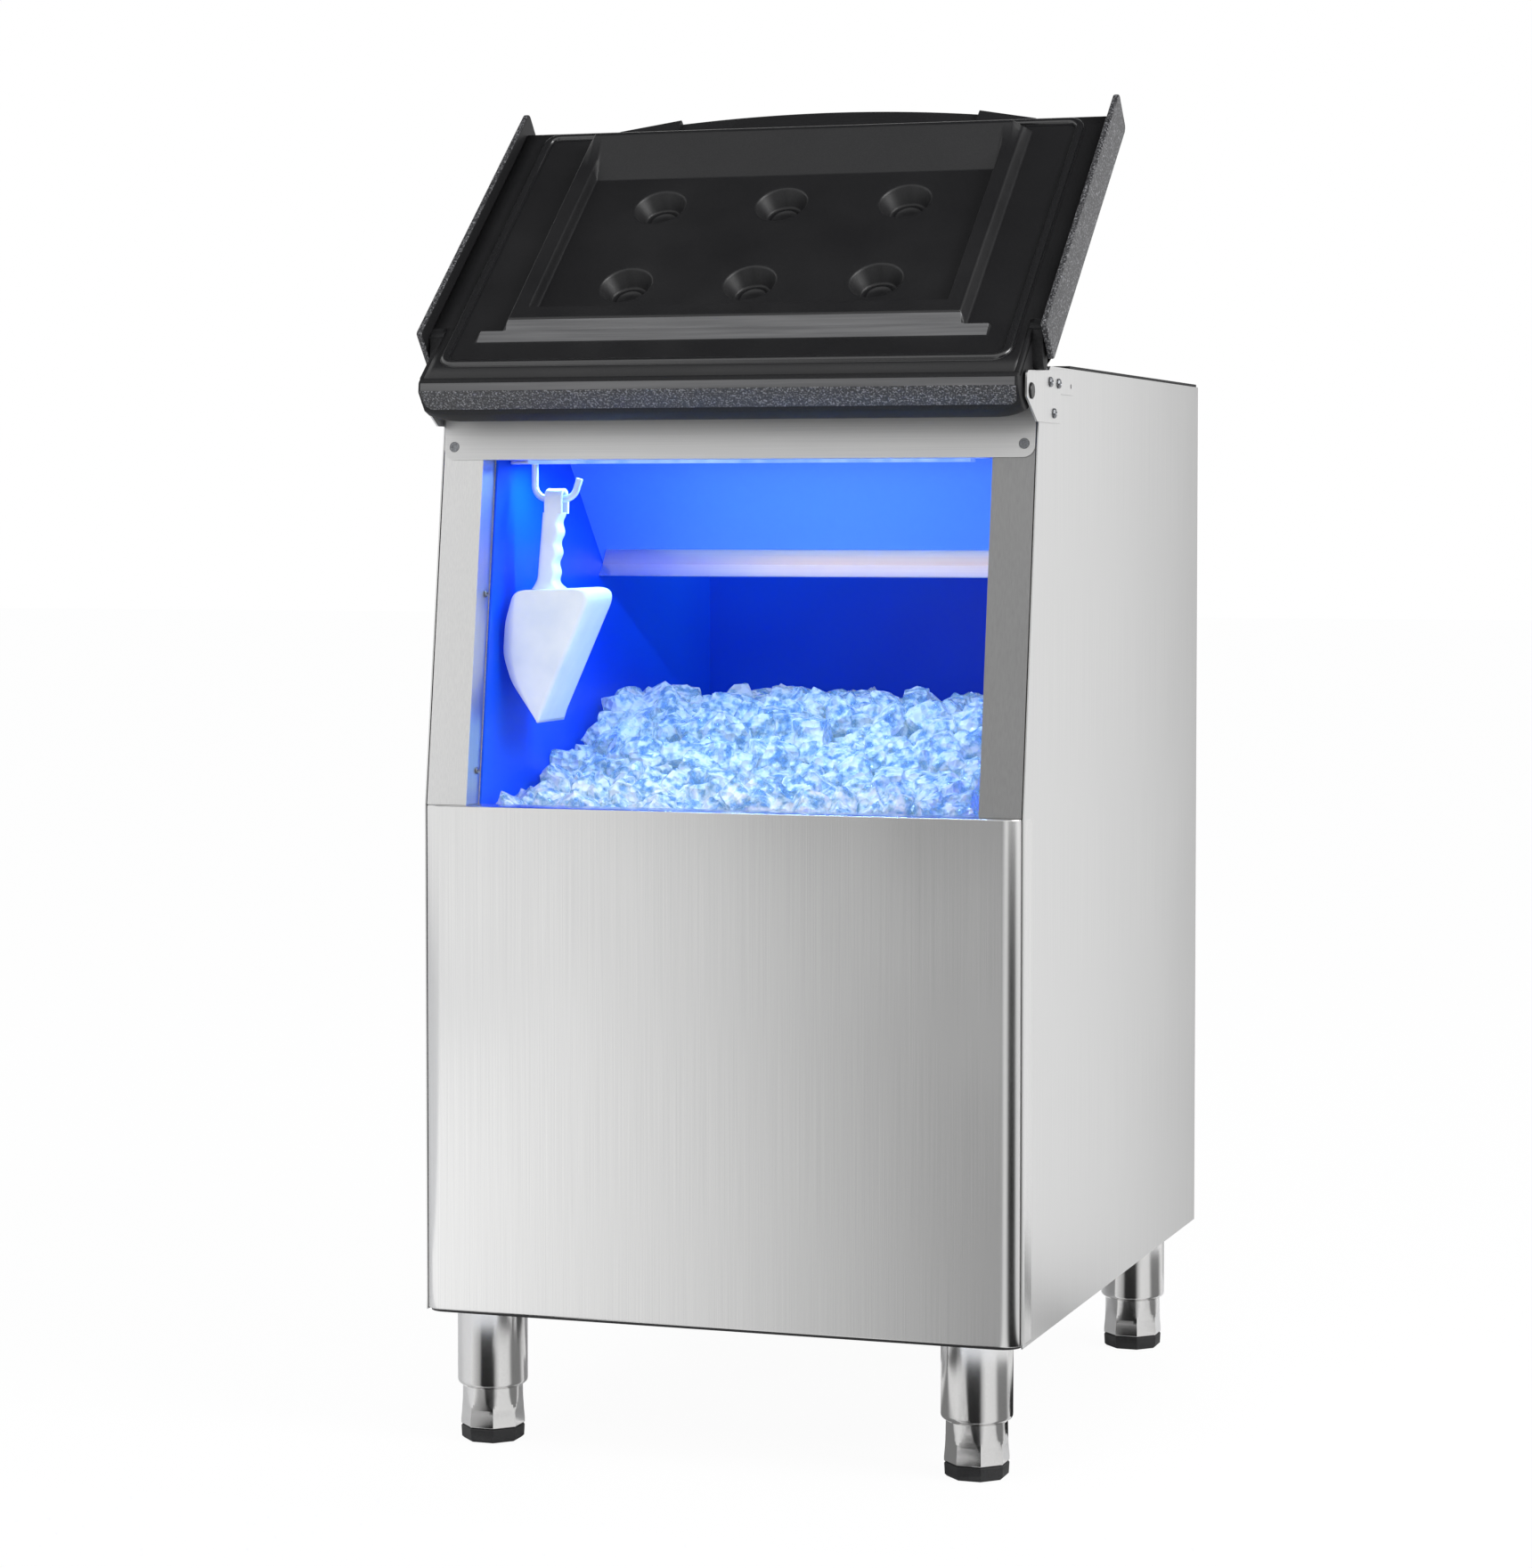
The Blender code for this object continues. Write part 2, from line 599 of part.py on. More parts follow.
def build_frame(steel, screw_steel):
    """Two stiles with return flanges, and the rail that lies over their upper ends."""
    rail_low = OPENING_TOP_Z
    shoulder_z = TOP_Z - RAIL_TOP_DROP
    for side, sign in (("left", -1), ("right", 1)):
        outer = sign * (FRAME_WIDTH / 2)
        edge = sign * OPENING_HALF
        lip = sign * (OPENING_HALF - SHEET)
        section = [(outer, 0), (outer, SHEET), (edge, SHEET), (edge, FRAME_RETURN),
                   (lip, FRAME_RETURN), (lip, 0)]
        stile = add("stile_" + side, leaning(section, PAN_TOP_Z + GAP, rail_low + SHEET), steel)
        tongue = leaning([(outer, 0), (outer, SHEET), (edge, SHEET), (edge, 0)],
                         rail_low, shoulder_z - 2 * SHEET)
        join(stile, tongue, "tongue")
        notch = leaning([(edge, -OVERRUN), (edge, FRAME_RETURN + OVERRUN), (0, FRAME_RETURN + OVERRUN),
                         (0, -OVERRUN)], rail_low - GAP, rail_low + OVERRUN)
        cut(stile, notch, "notch")
        for place, rise in zip(("low", "high"), FLANGE_SCREW_RISES):
            z = PAN_TOP_Z + rise
            head = screw_head(SCREW_RADIUS * 0.7, SCREW_HEAD * 0.8)
            add("flange_screw_{}_{}".format(side, place), head, screw_steel,
                place=(lip - sign * GAP, frame_y(z) + FLANGE_SCREW_DEPTH, z),
                turn=(0, -sign * math.pi / 2, 0))

    half = FRAME_WIDTH / 2
    face = (arc((half - RAIL_CORNER, rail_low + RAIL_CORNER), RAIL_CORNER, -90, 0)
            + [(half, shoulder_z), (-half, shoulder_z)]
            + arc((-half + RAIL_CORNER, rail_low + RAIL_CORNER), RAIL_CORNER, 180, 270))
    plate = prism(face, 0, SHEET, "Y")
    for vert in plate.verts:
        vert.co.y += frame_y(vert.co.z) - RAIL_PROUD
    rail = add("top_rail", plate, steel)
    fold = frame_y(shoulder_z) - RAIL_PROUD
    run = (TOP_Z - SHEET - GAP - shoulder_z) / math.tan(SHOULDER_TILT)
    width = FRAME_WIDTH / 2
    shoulder = [(fold, shoulder_z - SHEET), (fold + SHEET, shoulder_z - SHEET),
                (fold + SHEET * 2 + run, TOP_Z - SHEET - GAP), (fold + run, TOP_Z - SHEET - GAP),
                (fold, shoulder_z)]
    join(rail, prism(shoulder, -width, width, "X"), "shoulder")
    lip_front = frame_y(rail_low) - RAIL_PROUD
    under = [(lip_front, rail_low), (lip_front + RAIL_PROUD + FRAME_RETURN, rail_low),
             (lip_front + RAIL_PROUD + FRAME_RETURN, rail_low + SHEET),
             (lip_front + SHEET / 2, rail_low + SHEET)]
    flange_half = OPENING_HALF - SHEET - GAP
    join(rail, prism(under, -flange_half, flange_half, "X"), "under_flange")
    for side, sign in (("left", -1), ("right", 1)):
        x = sign * (FRAME_WIDTH / 2 - RAIL_SCREW_INSET)
        z = rail_low + RAIL_SCREW_RISE
        hole = turned([(0, -OVERRUN), (SCREW_RADIUS + GAP, -OVERRUN), (SCREW_RADIUS + GAP, OVERRUN),
                       (0, OVERRUN)], ROUND_STEPS)
        lean_into_frame(hole, x, z)
        cut(rail, hole, "screw_hole_" + side)
        flat = turned([(0, SCREW_SOCKET_DEPTH * 0.5), (SCREW_SOCKET, SCREW_SOCKET_DEPTH * 0.5),
                       (SCREW_SOCKET, 0), (SCREW_RADIUS, 0), (SCREW_RADIUS, SHEET), (0, SHEET)],
                      ROUND_STEPS)
        lean_into_frame(flat, x, z)
        add("rail_screw_" + side, flat, screw_steel)


def lean_into_frame(shape, x, z):
    """Turn a shape made about Z so that its axis runs into the rail's face, at x and z."""
    for vert in shape.verts:
        a, b, depth = vert.co
        vert.co = (a, depth * math.cos(FRAME_TILT) + b * math.sin(FRAME_TILT),
                   b * math.cos(FRAME_TILT) - depth * math.sin(FRAME_TILT))
        vert.co += Vector((x, frame_y(z) - RAIL_PROUD, z))
    bmesh.ops.reverse_faces(shape, faces=shape.faces)


def screw_head(radius, height):
    """A domed screw head with a round socket, standing on z = 0."""
    dome = [(radius, 0), (radius, height * 0.35), (radius * 0.86, height * 0.75),
            (SCREW_SOCKET * 0.85, height)]
    socket = [(SCREW_SOCKET * 0.6, height - SCREW_SOCKET_DEPTH), (0, height - SCREW_SOCKET_DEPTH)]
    return turned([(0, 0)] + dome + socket, ROUND_STEPS // 2)


def build_top(steel, foam):
    """The ring round the ice drop opening, with a folded lip, and the foam strip on it."""
    shoulder_z = TOP_Z - RAIL_TOP_DROP
    front = frame_y(shoulder_z) - RAIL_PROUD + (TOP_Z - shoulder_z) / math.tan(SHOULDER_TILT)
    half = SIDE_INNER - GAP
    ring = box((-half, half), (front, BACK_Y - SHEET - GAP), (TOP_Z - SHEET, TOP_Z))
    top = add("top_frame", ring, steel)
    lip = box((-DROP_HALF - SHEET, DROP_HALF + SHEET),
              (FRONT_Y + DROP_FRONT - SHEET, DROP_BACK + SHEET),
              (TOP_Z - SHEET - DROP_LIP, TOP_Z - SHEET / 2))
    join(top, lip, "lip")
    hole = box((-DROP_HALF, DROP_HALF), (FRONT_Y + DROP_FRONT, DROP_BACK),
               (TOP_Z - DROP_LIP - OVERRUN, TOP_Z + OVERRUN))
    cut(top, hole, "drop_opening")

    half = SIDE_OUTER - STRIP_MARGIN
    start = FRONT_Y + STRIP_FRONT
    end = BACK_Y - STRIP_MARGIN
    low = TOP_Z + GAP
    strip = add("top_gasket", box((-half, half), (start, end), (low, low + STRIP_HEIGHT)), foam)
    hole = box((-half + STRIP_WIDTH, half - STRIP_WIDTH), (start + STRIP_WIDTH, end - STRIP_WIDTH),
               (low - OVERRUN, low + OVERRUN))
    cut(strip, hole, "inside")


def build_liner(plastic, foam):
    """The store's open tub, and the foam between it and the case."""
    front = FRONT_Y + PAN_RETURN + GAP
    back = LINER_BACK
    low = LINER_FLOOR_Z - LINER_WALL
    high = TOP_Z - SHEET - GAP
    sill = PAN_TOP_Z - SHEET - GAP
    slant = FRAME_RETURN + GAP
    knee = frame_y(sill) + slant
    shoulder = frame_y(OPENING_TOP_Z) + slant
    outline = [(front, low), (back + LINER_WALL, low), (back + LINER_WALL, high),
               (shoulder + RAIL_TOP_DROP, high), (shoulder, OPENING_TOP_Z), (knee, sill), (front, sill)]
    tub = add("liner", prism(outline, -LINER_OUTER, LINER_OUTER, "X"), plastic)
    inner = LINER_HALF
    space = [(front + LINER_WALL, LINER_FLOOR_Z), (back, LINER_FLOOR_Z), (back, high + OVERRUN),
             (front - OVERRUN, high + OVERRUN), (front - OVERRUN, sill + GAP),
             (front + LINER_WALL, sill + GAP)]
    cut(tub, prism(space, -inner, inner, "X"), "space")
    # The drain passes the liner's floor.
    cut(tub, drain_hole(low - OVERRUN, LINER_FLOOR_Z + OVERRUN), "drain_hole")

    side_front = FRONT_Y + PAN_RETURN + GAP
    fill_low = LEG_HEIGHT + SHEET + GAP
    outer = SIDE_INNER - GAP
    fill_back = BACK_Y - SHEET - GAP
    knee = frame_y(PAN_TOP_Z) + slant
    outline = [(side_front, fill_low), (fill_back, fill_low), (fill_back, high - DROP_LIP),
               (shoulder + RAIL_TOP_DROP, high - DROP_LIP), (shoulder, OPENING_TOP_Z - GAP),
               (knee, PAN_TOP_Z), (side_front, PAN_TOP_Z)]
    for side, sign in (("left", -1), ("right", 1)):
        near = sign * (LINER_OUTER + GAP)
        add("foam_" + side, prism(outline, near, sign * outer, "X"), foam)
    add("foam_back", box((-LINER_OUTER, LINER_OUTER), (back + LINER_WALL + GAP, fill_back),
                         (low, high - DROP_LIP)), foam)
    bed = add("foam_bottom", box((-LINER_OUTER, LINER_OUTER), (side_front, fill_back),
                                 (fill_low, low - GAP)), foam)
    cut(bed, drain_hole(fill_low - OVERRUN, low + OVERRUN), "drain_hole")
    half = PAN_WIDTH / 2 - PAN_CORNER
    pan_low = LEG_HEIGHT + TRIM_HEIGHT + GAP + SHEET
    add("foam_front", box((-half, half), (FRONT_Y + SHEET + GAP, side_front - GAP),
                          (pan_low + GAP, PAN_TOP_Z - SHEET - GAP)), foam)


def build_drain(steel, plastic):
    """A tube through the floor with a flange in the store, and a slotted strainer over it."""
    place = (0, DRAIN_Y, 0)
    top = LINER_FLOOR_Z + GAP + DRAIN_FLANGE
    low = LEG_HEIGHT - DRAIN_BELOW
    tube = turned([(DRAIN_BORE, low), (DRAIN_RADIUS, low), (DRAIN_RADIUS, LINER_FLOOR_Z + GAP),
                   (DRAIN_FLANGE_RADIUS, LINER_FLOOR_Z + GAP), (DRAIN_FLANGE_RADIUS, top),
                   (DRAIN_BORE, top)], ROUND_STEPS, closed=True)
    bmesh.ops.translate(tube, verts=tube.verts, vec=place)
    add("drain_fitting", tube, plastic)

    rise = LINER_FLOOR_Z + GAP
    crown = rise + STRAINER_HEIGHT
    shoulder = STRAINER_RADIUS * STRAINER_CROWN_SHARE
    cap = turned([(STRAINER_RADIUS - STRAINER_WALL, rise), (STRAINER_RADIUS, rise),
                  (STRAINER_RADIUS, rise + STRAINER_WALL), (shoulder, crown),
                  (STRAINER_WALL, crown), (STRAINER_WALL, crown - STRAINER_WALL),
                  (shoulder - STRAINER_WALL / 2, crown - STRAINER_WALL)], ROUND_STEPS, closed=True)
    bmesh.ops.translate(cap, verts=cap.verts, vec=place)
    strainer = add("drain_strainer", cap, steel)
    for i in range(STRAINER_SLOTS):
        slot = box((STRAINER_WALL * 3, shoulder - STRAINER_WALL),
                   (-STRAINER_WALL / 2, STRAINER_WALL / 2), (rise + STRAINER_WALL, crown + OVERRUN))
        turn = Matrix.Rotation(math.tau * (i + 0.5) / STRAINER_SLOTS, 3, "Z")
        bmesh.ops.rotate(slot, verts=slot.verts, cent=(0, 0, 0), matrix=turn)
        bmesh.ops.translate(slot, verts=slot.verts, vec=place)
        cut(strainer, slot, "slot_{}".format(i))


def baffle_point(along, off):
    """A point of the deflector's side view: along it from its lower edge, and off its face
    towards the front."""
    low_y = FRONT_Y + BAFFLE_LOW_DEPTH
    low_z = TOP_Z - BAFFLE_LOW_DROP
    run = Vector((-math.sin(BAFFLE_TILT), math.cos(BAFFLE_TILT)))
    face = Vector((-math.cos(BAFFLE_TILT), -math.sin(BAFFLE_TILT)))
    return (low_y + run.x * along + face.x * off, low_z + run.y * along + face.y * off)


def build_baffle(steel):
    """The slanted deflector, hung from the lip of the top, and the angle along its edge."""
    half = LINER_HALF - GAP
    hang_y = FRONT_Y + DROP_FRONT - SHEET - GAP
    low_y, low_z = baffle_point(0, 0)
    length = (low_y - hang_y) / math.sin(BAFFLE_TILT)
    bend_y, bend_z = baffle_point(length, 0)
    hang_top = TOP_Z - SHEET - GAP
    outline = [baffle_point(0, 0), (hang_y, bend_z), (hang_y, hang_top), (hang_y - SHEET, hang_top),
               (hang_y - SHEET, bend_z + SHEET / 2), baffle_point(0, SHEET)]
    add("baffle", prism(outline, -half, half, "X"), steel)

    rise = LIP_RISE / math.cos(BAFFLE_TILT)
    low_front = (low_y - LIP_FORWARD, low_z - LIP_FALL)
    fold_far = baffle_point(0, 2 * SHEET + GAP)
    ahead = (Vector(low_front) - Vector(fold_far)).normalized()
    back = Vector((-ahead.y, ahead.x))
    down = Vector((math.sin(BAFFLE_TILT), -math.cos(BAFFLE_TILT)))
    fold_step = Vector(baffle_point(0, SHEET + GAP)) - Vector(fold_far)
    beyond = (SHEET - fold_step.dot(back)) / down.dot(back)
    outline = [baffle_point(-beyond, SHEET + GAP), baffle_point(rise, SHEET + GAP),
               baffle_point(rise, 2 * SHEET + GAP), fold_far, low_front,
               (low_front[0] + SHEET * back.x, low_front[1] + SHEET * back.y)]
    lip = add("baffle_lip", prism(outline, -half, half, "X"), steel)
    for side, sign in (("left", -1), ("right", 1)):
        top_y, top_z = baffle_point(rise, SHEET)
        mitre = [(sign * half, fold_far[1]), (sign * (half - LIP_MITRE), top_z),
                 (sign * (half - LIP_MITRE), top_z + OVERRUN), (sign * (half + OVERRUN), top_z + OVERRUN),
                 (sign * (half + OVERRUN), fold_far[1])]
        cut(lip, prism(mitre, top_y - OVERRUN, low_y + OVERRUN, "Y"), "mitre_" + side)


def build_lamp(plastic, glow):
    """A shallow lamp housing behind the rail's lower flange, with its lens underneath."""
    low = OPENING_TOP_Z
    start = frame_y(low) + FRAME_RETURN + GAP
    half = LAMP_HALF
    add("led_housing", box((-half, half), (start, start + LAMP_DEPTH), (low, low + LAMP_HEIGHT)), plastic)
    half = LENS_HALF
    lens = box((-half, half), (start + LENS_START, start + LENS_START + LENS_DEPTH),
               (low - GAP - LENS_HEIGHT, low - GAP))
    add("led_lens", lens, glow)


def bracket_top(depth):
    """The height of the bracket's upper edge, which rises gently towards the back."""
    share = (depth - BRACKET_FRONT - BRACKET_CORNER) / (BRACKET_END - BRACKET_FRONT - BRACKET_CORNER)
    return TOP_Z - BRACKET_NOSE_TOP + (BRACKET_NOSE_TOP - BRACKET_TOP_DROP) * share


def build_brackets(steel, screw_steel):
    """The plate that carries the lid at each side, and its three screws."""
    top = bracket_top(BRACKET_END)
    nose = BRACKET_CORNER
    nose_top = bracket_top(BRACKET_FRONT + nose)
    chin = TOP_Z - BRACKET_CHIN_DROP
    low = TOP_Z - BRACKET_LOW_DROP
    tab = TOP_Z - BRACKET_TAB_DROP
    outline = [(FRONT_Y + BRACKET_TIP, low), (FRONT_Y + BRACKET_STEP, low),
               (FRONT_Y + BRACKET_STEP, tab), (FRONT_Y + BRACKET_END, tab), (FRONT_Y + BRACKET_END, top)]
    outline += arc((FRONT_Y + BRACKET_FRONT + nose, nose_top - nose), nose, 90, 180)
    outline += [(FRONT_Y + BRACKET_FRONT, chin)]
    near = SIDE_OUTER + GAP
    far = near + BRACKET_SHEET
    half = SLOT_LENGTH / 2
    radius = PIVOT_RADIUS + GAP
    for side, sign in (("left", -1), ("right", 1)):
        plate = add("hinge_bracket_" + side, prism(outline, sign * near, sign * far, "X"), steel)
        slot = (arc((HINGE_Y + half - radius, HINGE_Z), radius, -90, 90, CORNER_STEPS * 2)
                + arc((HINGE_Y - half + radius, HINGE_Z), radius, 90, 270, CORNER_STEPS * 2))
        cut(plate, prism(slot, sign * (near - OVERRUN), sign * (far + OVERRUN), "X"), "slot")
        depth, drop = RIVET_HOLE
        hole = arc((FRONT_Y + depth, TOP_Z - drop), RIVET_RADIUS, 0, 360 - 360 / ROUND_STEPS,
                   ROUND_STEPS - 1)
        cut(plate, prism(hole, sign * (near - OVERRUN), sign * (far + OVERRUN), "X"), "rivet_hole")
        for i, (depth, drop) in enumerate(BRACKET_SCREWS):
            add("bracket_screw_{}_{}".format(side, i + 1), screw_head(SCREW_RADIUS, SCREW_HEAD),
                screw_steel, place=(sign * (far + GAP), FRONT_Y + depth, TOP_Z - drop),
                turn=(0, sign * math.pi / 2, 0))


def build_legs(steel, rubber):
    """Four legs: a fixed sleeve, and an eight-sided foot on a stem that screws out of it."""
    sleeve_top = LEG_HEIGHT - GAP
    sleeve_low = sleeve_top - SLEEVE_LENGTH
    bore = STEM_RADIUS + GAP
    low_ring = [(SLEEVE_RADIUS - SLEEVE_ROUND + SLEEVE_ROUND * math.sin(a),
                 sleeve_low + SLEEVE_ROUND - SLEEVE_ROUND * math.cos(a))
                for a in (math.pi / 2 * i / CORNER_STEPS for i in range(CORNER_STEPS + 1))]
    sleeve = [(bore, sleeve_low)] + low_ring + [(SLEEVE_RADIUS, sleeve_top), (bore, sleeve_top)]
    foot_top = sleeve_low - GAP
    foot_low = PAD_HEIGHT + GAP
    body = [(0, foot_low), (FOOT_LOW_RADIUS - FOOT_CHAMFER, foot_low),
            (FOOT_LOW_RADIUS, foot_low + FOOT_CHAMFER), (FOOT_TOP_RADIUS, foot_top - FOOT_CHAMFER),
            (FOOT_TOP_RADIUS - FOOT_CHAMFER / 2, foot_top), (0, foot_top)]
    stem = [(0, foot_top - OVERRUN), (STEM_RADIUS, foot_top - OVERRUN),
            (STEM_RADIUS, foot_top + STEM_LENGTH), (0, foot_top + STEM_LENGTH)]
    pad = [(0, 0), (PAD_RADIUS - PAD_EDGE, 0), (PAD_RADIUS, PAD_EDGE), (PAD_RADIUS, PAD_HEIGHT),
           (0, PAD_HEIGHT)]
    half_side = math.pi / FOOT_SIDES
    for row, y in (("front", FRONT_Y + LEG_FRONT), ("back", BACK_Y - LEG_SETBACK)):
        for side, sign in (("left", -1), ("right", 1)):
            spot = (sign * (SIDE_OUTER - LEG_INSET), y, 0)
            name = "{}_{}".format(row, side)
            add("leg_sleeve_" + name, turned(sleeve, ROUND_STEPS, closed=True), steel, place=spot)
            frame = empty("leg_slide_" + name, spot)
            foot = add("foot_" + name, turned(body, FOOT_SIDES, start=half_side), steel,
                       parent=frame)
            join(foot, turned(stem, ROUND_STEPS), "stem")
            add("foot_pad_" + name, turned(pad, FOOT_SIDES, start=half_side), rubber, parent=frame)


# The lid, in its own directions: x across, y the reach from the hinge, z the level.


def lid_floor(reach):
    """The level of the lid's outer skin: round at the brow, flat, then rising to the handle."""
    brow_round = BROW_FACE_LOW + LID_SKIN
    from_brow = reach + BROW_REACH
    if from_brow < brow_round:
        return BROW_FACE_LOW - math.sqrt(max(brow_round ** 2 - (brow_round - from_brow) ** 2, 0))
    if reach > HANDLE_CURVE_START:
        turn = math.asin(min((reach - HANDLE_CURVE_START) / (HANDLE_REACH - HANDLE_CURVE_START), 1))
        return -LID_SKIN + (LID_SKIN - HANDLE_LOW) * (1 - math.cos(turn))
    return -LID_SKIN


def lid_solid(half_width, inset, start, end, top):
    """The lid's outer form, or a smaller one inside it, from one reach to another."""
    brow_round = BROW_FACE_LOW + LID_SKIN
    rise = HANDLE_REACH - HANDLE_CURVE_START
    steps = [math.pi / 2 * i / CORNER_STEPS for i in range(CORNER_STEPS + 1)]
    reaches = [brow_round * (1 - math.cos(a)) - BROW_REACH for a in steps]
    reaches += [HANDLE_CURVE_START + rise * math.sin(a) for a in steps]
    reaches = [start] + [r for r in reaches if start + GAP < r < end - GAP / 2] + [end]
    sections = []
    across = LID_SIDE_ROUND - inset
    for reach in reaches:
        low = lid_floor(reach) + inset
        right = [(half_width - across + across * math.cos(a), reach,
                  LID_SIDE_LEVEL - (LID_SIDE_LEVEL - low) * math.sin(a)) for a in steps]
        left = [(-x, y, z) for x, y, z in reversed(right)]
        sections.append([(half_width, reach, top)] + right + left + [(-half_width, reach, top)])
    return lofted(sections)


def lid_plan():
    """The lid's outline seen square on: body, wings, and the bow handle at the free end."""
    wide = LID_HALF + OVERRUN
    block = HANDLE_HALF
    corner = HANDLE_SHOULDER_IN
    right = [(wide, -BROW_REACH - OVERRUN), (wide, WING_END), (WING_INNER, WING_END),
             (WING_INNER, FREE_EDGE), (block, FREE_EDGE), (block, HANDLE_SHOULDER_REACH - corner),
             (block - corner, HANDLE_SHOULDER_REACH), (HANDLE_BLOCK_END, HANDLE_BLOCK_REACH)]
    rise = HANDLE_REACH - HANDLE_BLOCK_REACH
    bow = []
    for i in range(1, CORNER_STEPS * 2):
        x = HANDLE_BLOCK_END * (1 - i / CORNER_STEPS)
        bow.append((x, HANDLE_REACH - rise * (x / HANDLE_BLOCK_END) ** 2))
    left = [(-x, y) for x, y in reversed(right)]
    return right + bow + left


def build_lid_shell(plastic, frame):
    far = HANDLE_REACH
    outer = lid_solid(LID_HALF, 0, -BROW_REACH, far + GAP, WING_TOP)
    shell = add("lid_shell", outer, plastic, parent=frame)
    combine(shell, prism(lid_plan(), -LID_SKIN - OVERRUN, WING_TOP + OVERRUN, "Z"), "INTERSECT", "plan")

    seat = LID_MARGIN - PANEL_SHEET - GAP
    beyond = OVERRUN
    chamfer_end = (-BROW_REACH + BROW_CHAMFER, BROW_TOP + BROW_RISE)
    shoulder = -BROW_REACH + BROW_SHOULDER
    start = -PANEL_START - GAP
    inside = [(-BROW_REACH - beyond, BROW_TOP), (-BROW_REACH, BROW_TOP), chamfer_end,
              (shoulder, BROW_SHOULDER_LEVEL), (start, BROW_SHOULDER_LEVEL), (start, seat),
              (FREE_EDGE, seat), (FREE_EDGE, HANDLE_LEVEL), (far + beyond, HANDLE_LEVEL),
              (far + beyond, WING_TOP + beyond), (-BROW_REACH - beyond, WING_TOP + beyond)]
    cut(shell, prism(inside, -WING_INNER, WING_INNER, "X"), "inner_side")

    grip = [(GRIP_HALF, FREE_EDGE), (GRIP_HALF, far + beyond), (-GRIP_HALF, far + beyond),
            (-GRIP_HALF, FREE_EDGE)]
    cut(shell, prism(grip, GRIP_LEVEL, HANDLE_LEVEL + beyond, "Z"), "grip")

    neck = NECK_HALF
    for side, sign in (("left", -1), ("right", 1)):
        outside = sign * (LID_HALF + beyond)
        notch = [(sign * neck, -BROW_REACH - beyond), (outside, -BROW_REACH - beyond),
                 (outside, WING_START), (sign * WING_INNER, WING_START),
                 (sign * WING_INNER, LID_NECK_END), (sign * neck, LID_NECK_END)]
        cut(shell, prism(notch, -LID_SKIN - beyond, WING_TOP + beyond, "Z"), "notch_" + side)

    wall = LID_WALL
    narrow = lid_solid(neck - wall, wall, wall - PANEL_START, LID_NECK_END + 2 * wall,
                       WING_TOP + beyond)
    cut(shell, narrow, "narrow_cavity")
    wide = lid_solid(WING_INNER - wall, wall, LID_NECK_END + wall, FREE_EDGE - wall,
                     WING_TOP + beyond)
    cut(shell, wide, "wide_cavity")

    # The stops: upright round-ended lugs that stand on the brackets when the lid is open.
    low = bracket_top(LUG_SETBACK) + GAP + LUG_RADIUS - HINGE_Z
    back = LUG_SETBACK - HINGE_SETBACK
    cosine = math.cos(LID_OPEN_TILT)
    sine = math.sin(LID_OPEN_TILT)
    for side, sign in (("left", -1), ("right", 1)):
        ends = (arc((back, low), LUG_RADIUS, 180, 360)
                + arc((back, low + LUG_HEIGHT), LUG_RADIUS, 0, 180))
        turned_ends = [(y * cosine + z * sine, z * cosine - y * sine) for y, z in ends]
        join(shell, prism(turned_ends, sign * LUG_INNER, sign * LUG_OUTER, "X"), "lug_" + side)
        outer = WING_INNER + WING_THICKNESS / 2
        base = [(sign * LUG_INNER, start), (sign * neck, start), (sign * neck, LID_NECK_END),
                (sign * outer, LID_NECK_END), (sign * outer, LUG_BASE_END),
                (sign * LUG_INNER, LUG_BASE_END)]
        join(shell, prism(base, seat - wall, LID_MARGIN, "Z"), "lug_base_" + side)


def ramp(value, low, high, low_level, high_level):
    """A straight rise or fall between two places, level on both sides of them."""
    share = min(max((value - low) / (high - low), 0), 1)
    return low_level + (high_level - low_level) * share


def panel_level(x, reach):
    """The level of the inner panel's face: margin, low tier, raised rims, well and slope."""
    across = abs(x)
    slope = ramp(reach, SLOPE_START, SLOPE_END, WELL, SLOPE_LEVEL)
    if WELL_START <= reach <= SLOPE_END and across <= WELL_HALF + WELL_DRAFT:
        return max(slope, ramp(reach, WELL_START, WELL_START + WELL_DRAFT, PLATEAU, WELL),
                   ramp(across, WELL_HALF, WELL_HALF + WELL_DRAFT, WELL, PLATEAU))
    tier = min(ramp(reach, TIER_START - WALL_RUN, TIER_START, LID_MARGIN, TIER_LEVEL),
               ramp(reach, TIER_END, TIER_END + WALL_RUN, TIER_LEVEL, LID_MARGIN),
               ramp(across, TIER_HALF, TIER_HALF + WALL_RUN, TIER_LEVEL, LID_MARGIN))
    far_side = ramp(reach, SLOPE_END + SLOPE_CREST, SLOPE_BACK, SLOPE_LEVEL, LID_MARGIN)
    rims = min(ramp(reach, TIER_END, RIM_START, TIER_LEVEL, PLATEAU),
               ramp(across, RIM_HALF, RIM_FOOT, PLATEAU, LID_MARGIN), far_side)
    if reach < TIER_END:
        rims = LID_MARGIN
    crest = min(slope, ramp(across, SLOPE_CREST_HALF, RIM_FOOT, SLOPE_LEVEL, LID_MARGIN), far_side)
    return max(LID_MARGIN, tier, rims, crest)


def mirrored(values):
    """The values and their negatives, in order."""
    return [-v for v in reversed(values)] + [v for v in values]


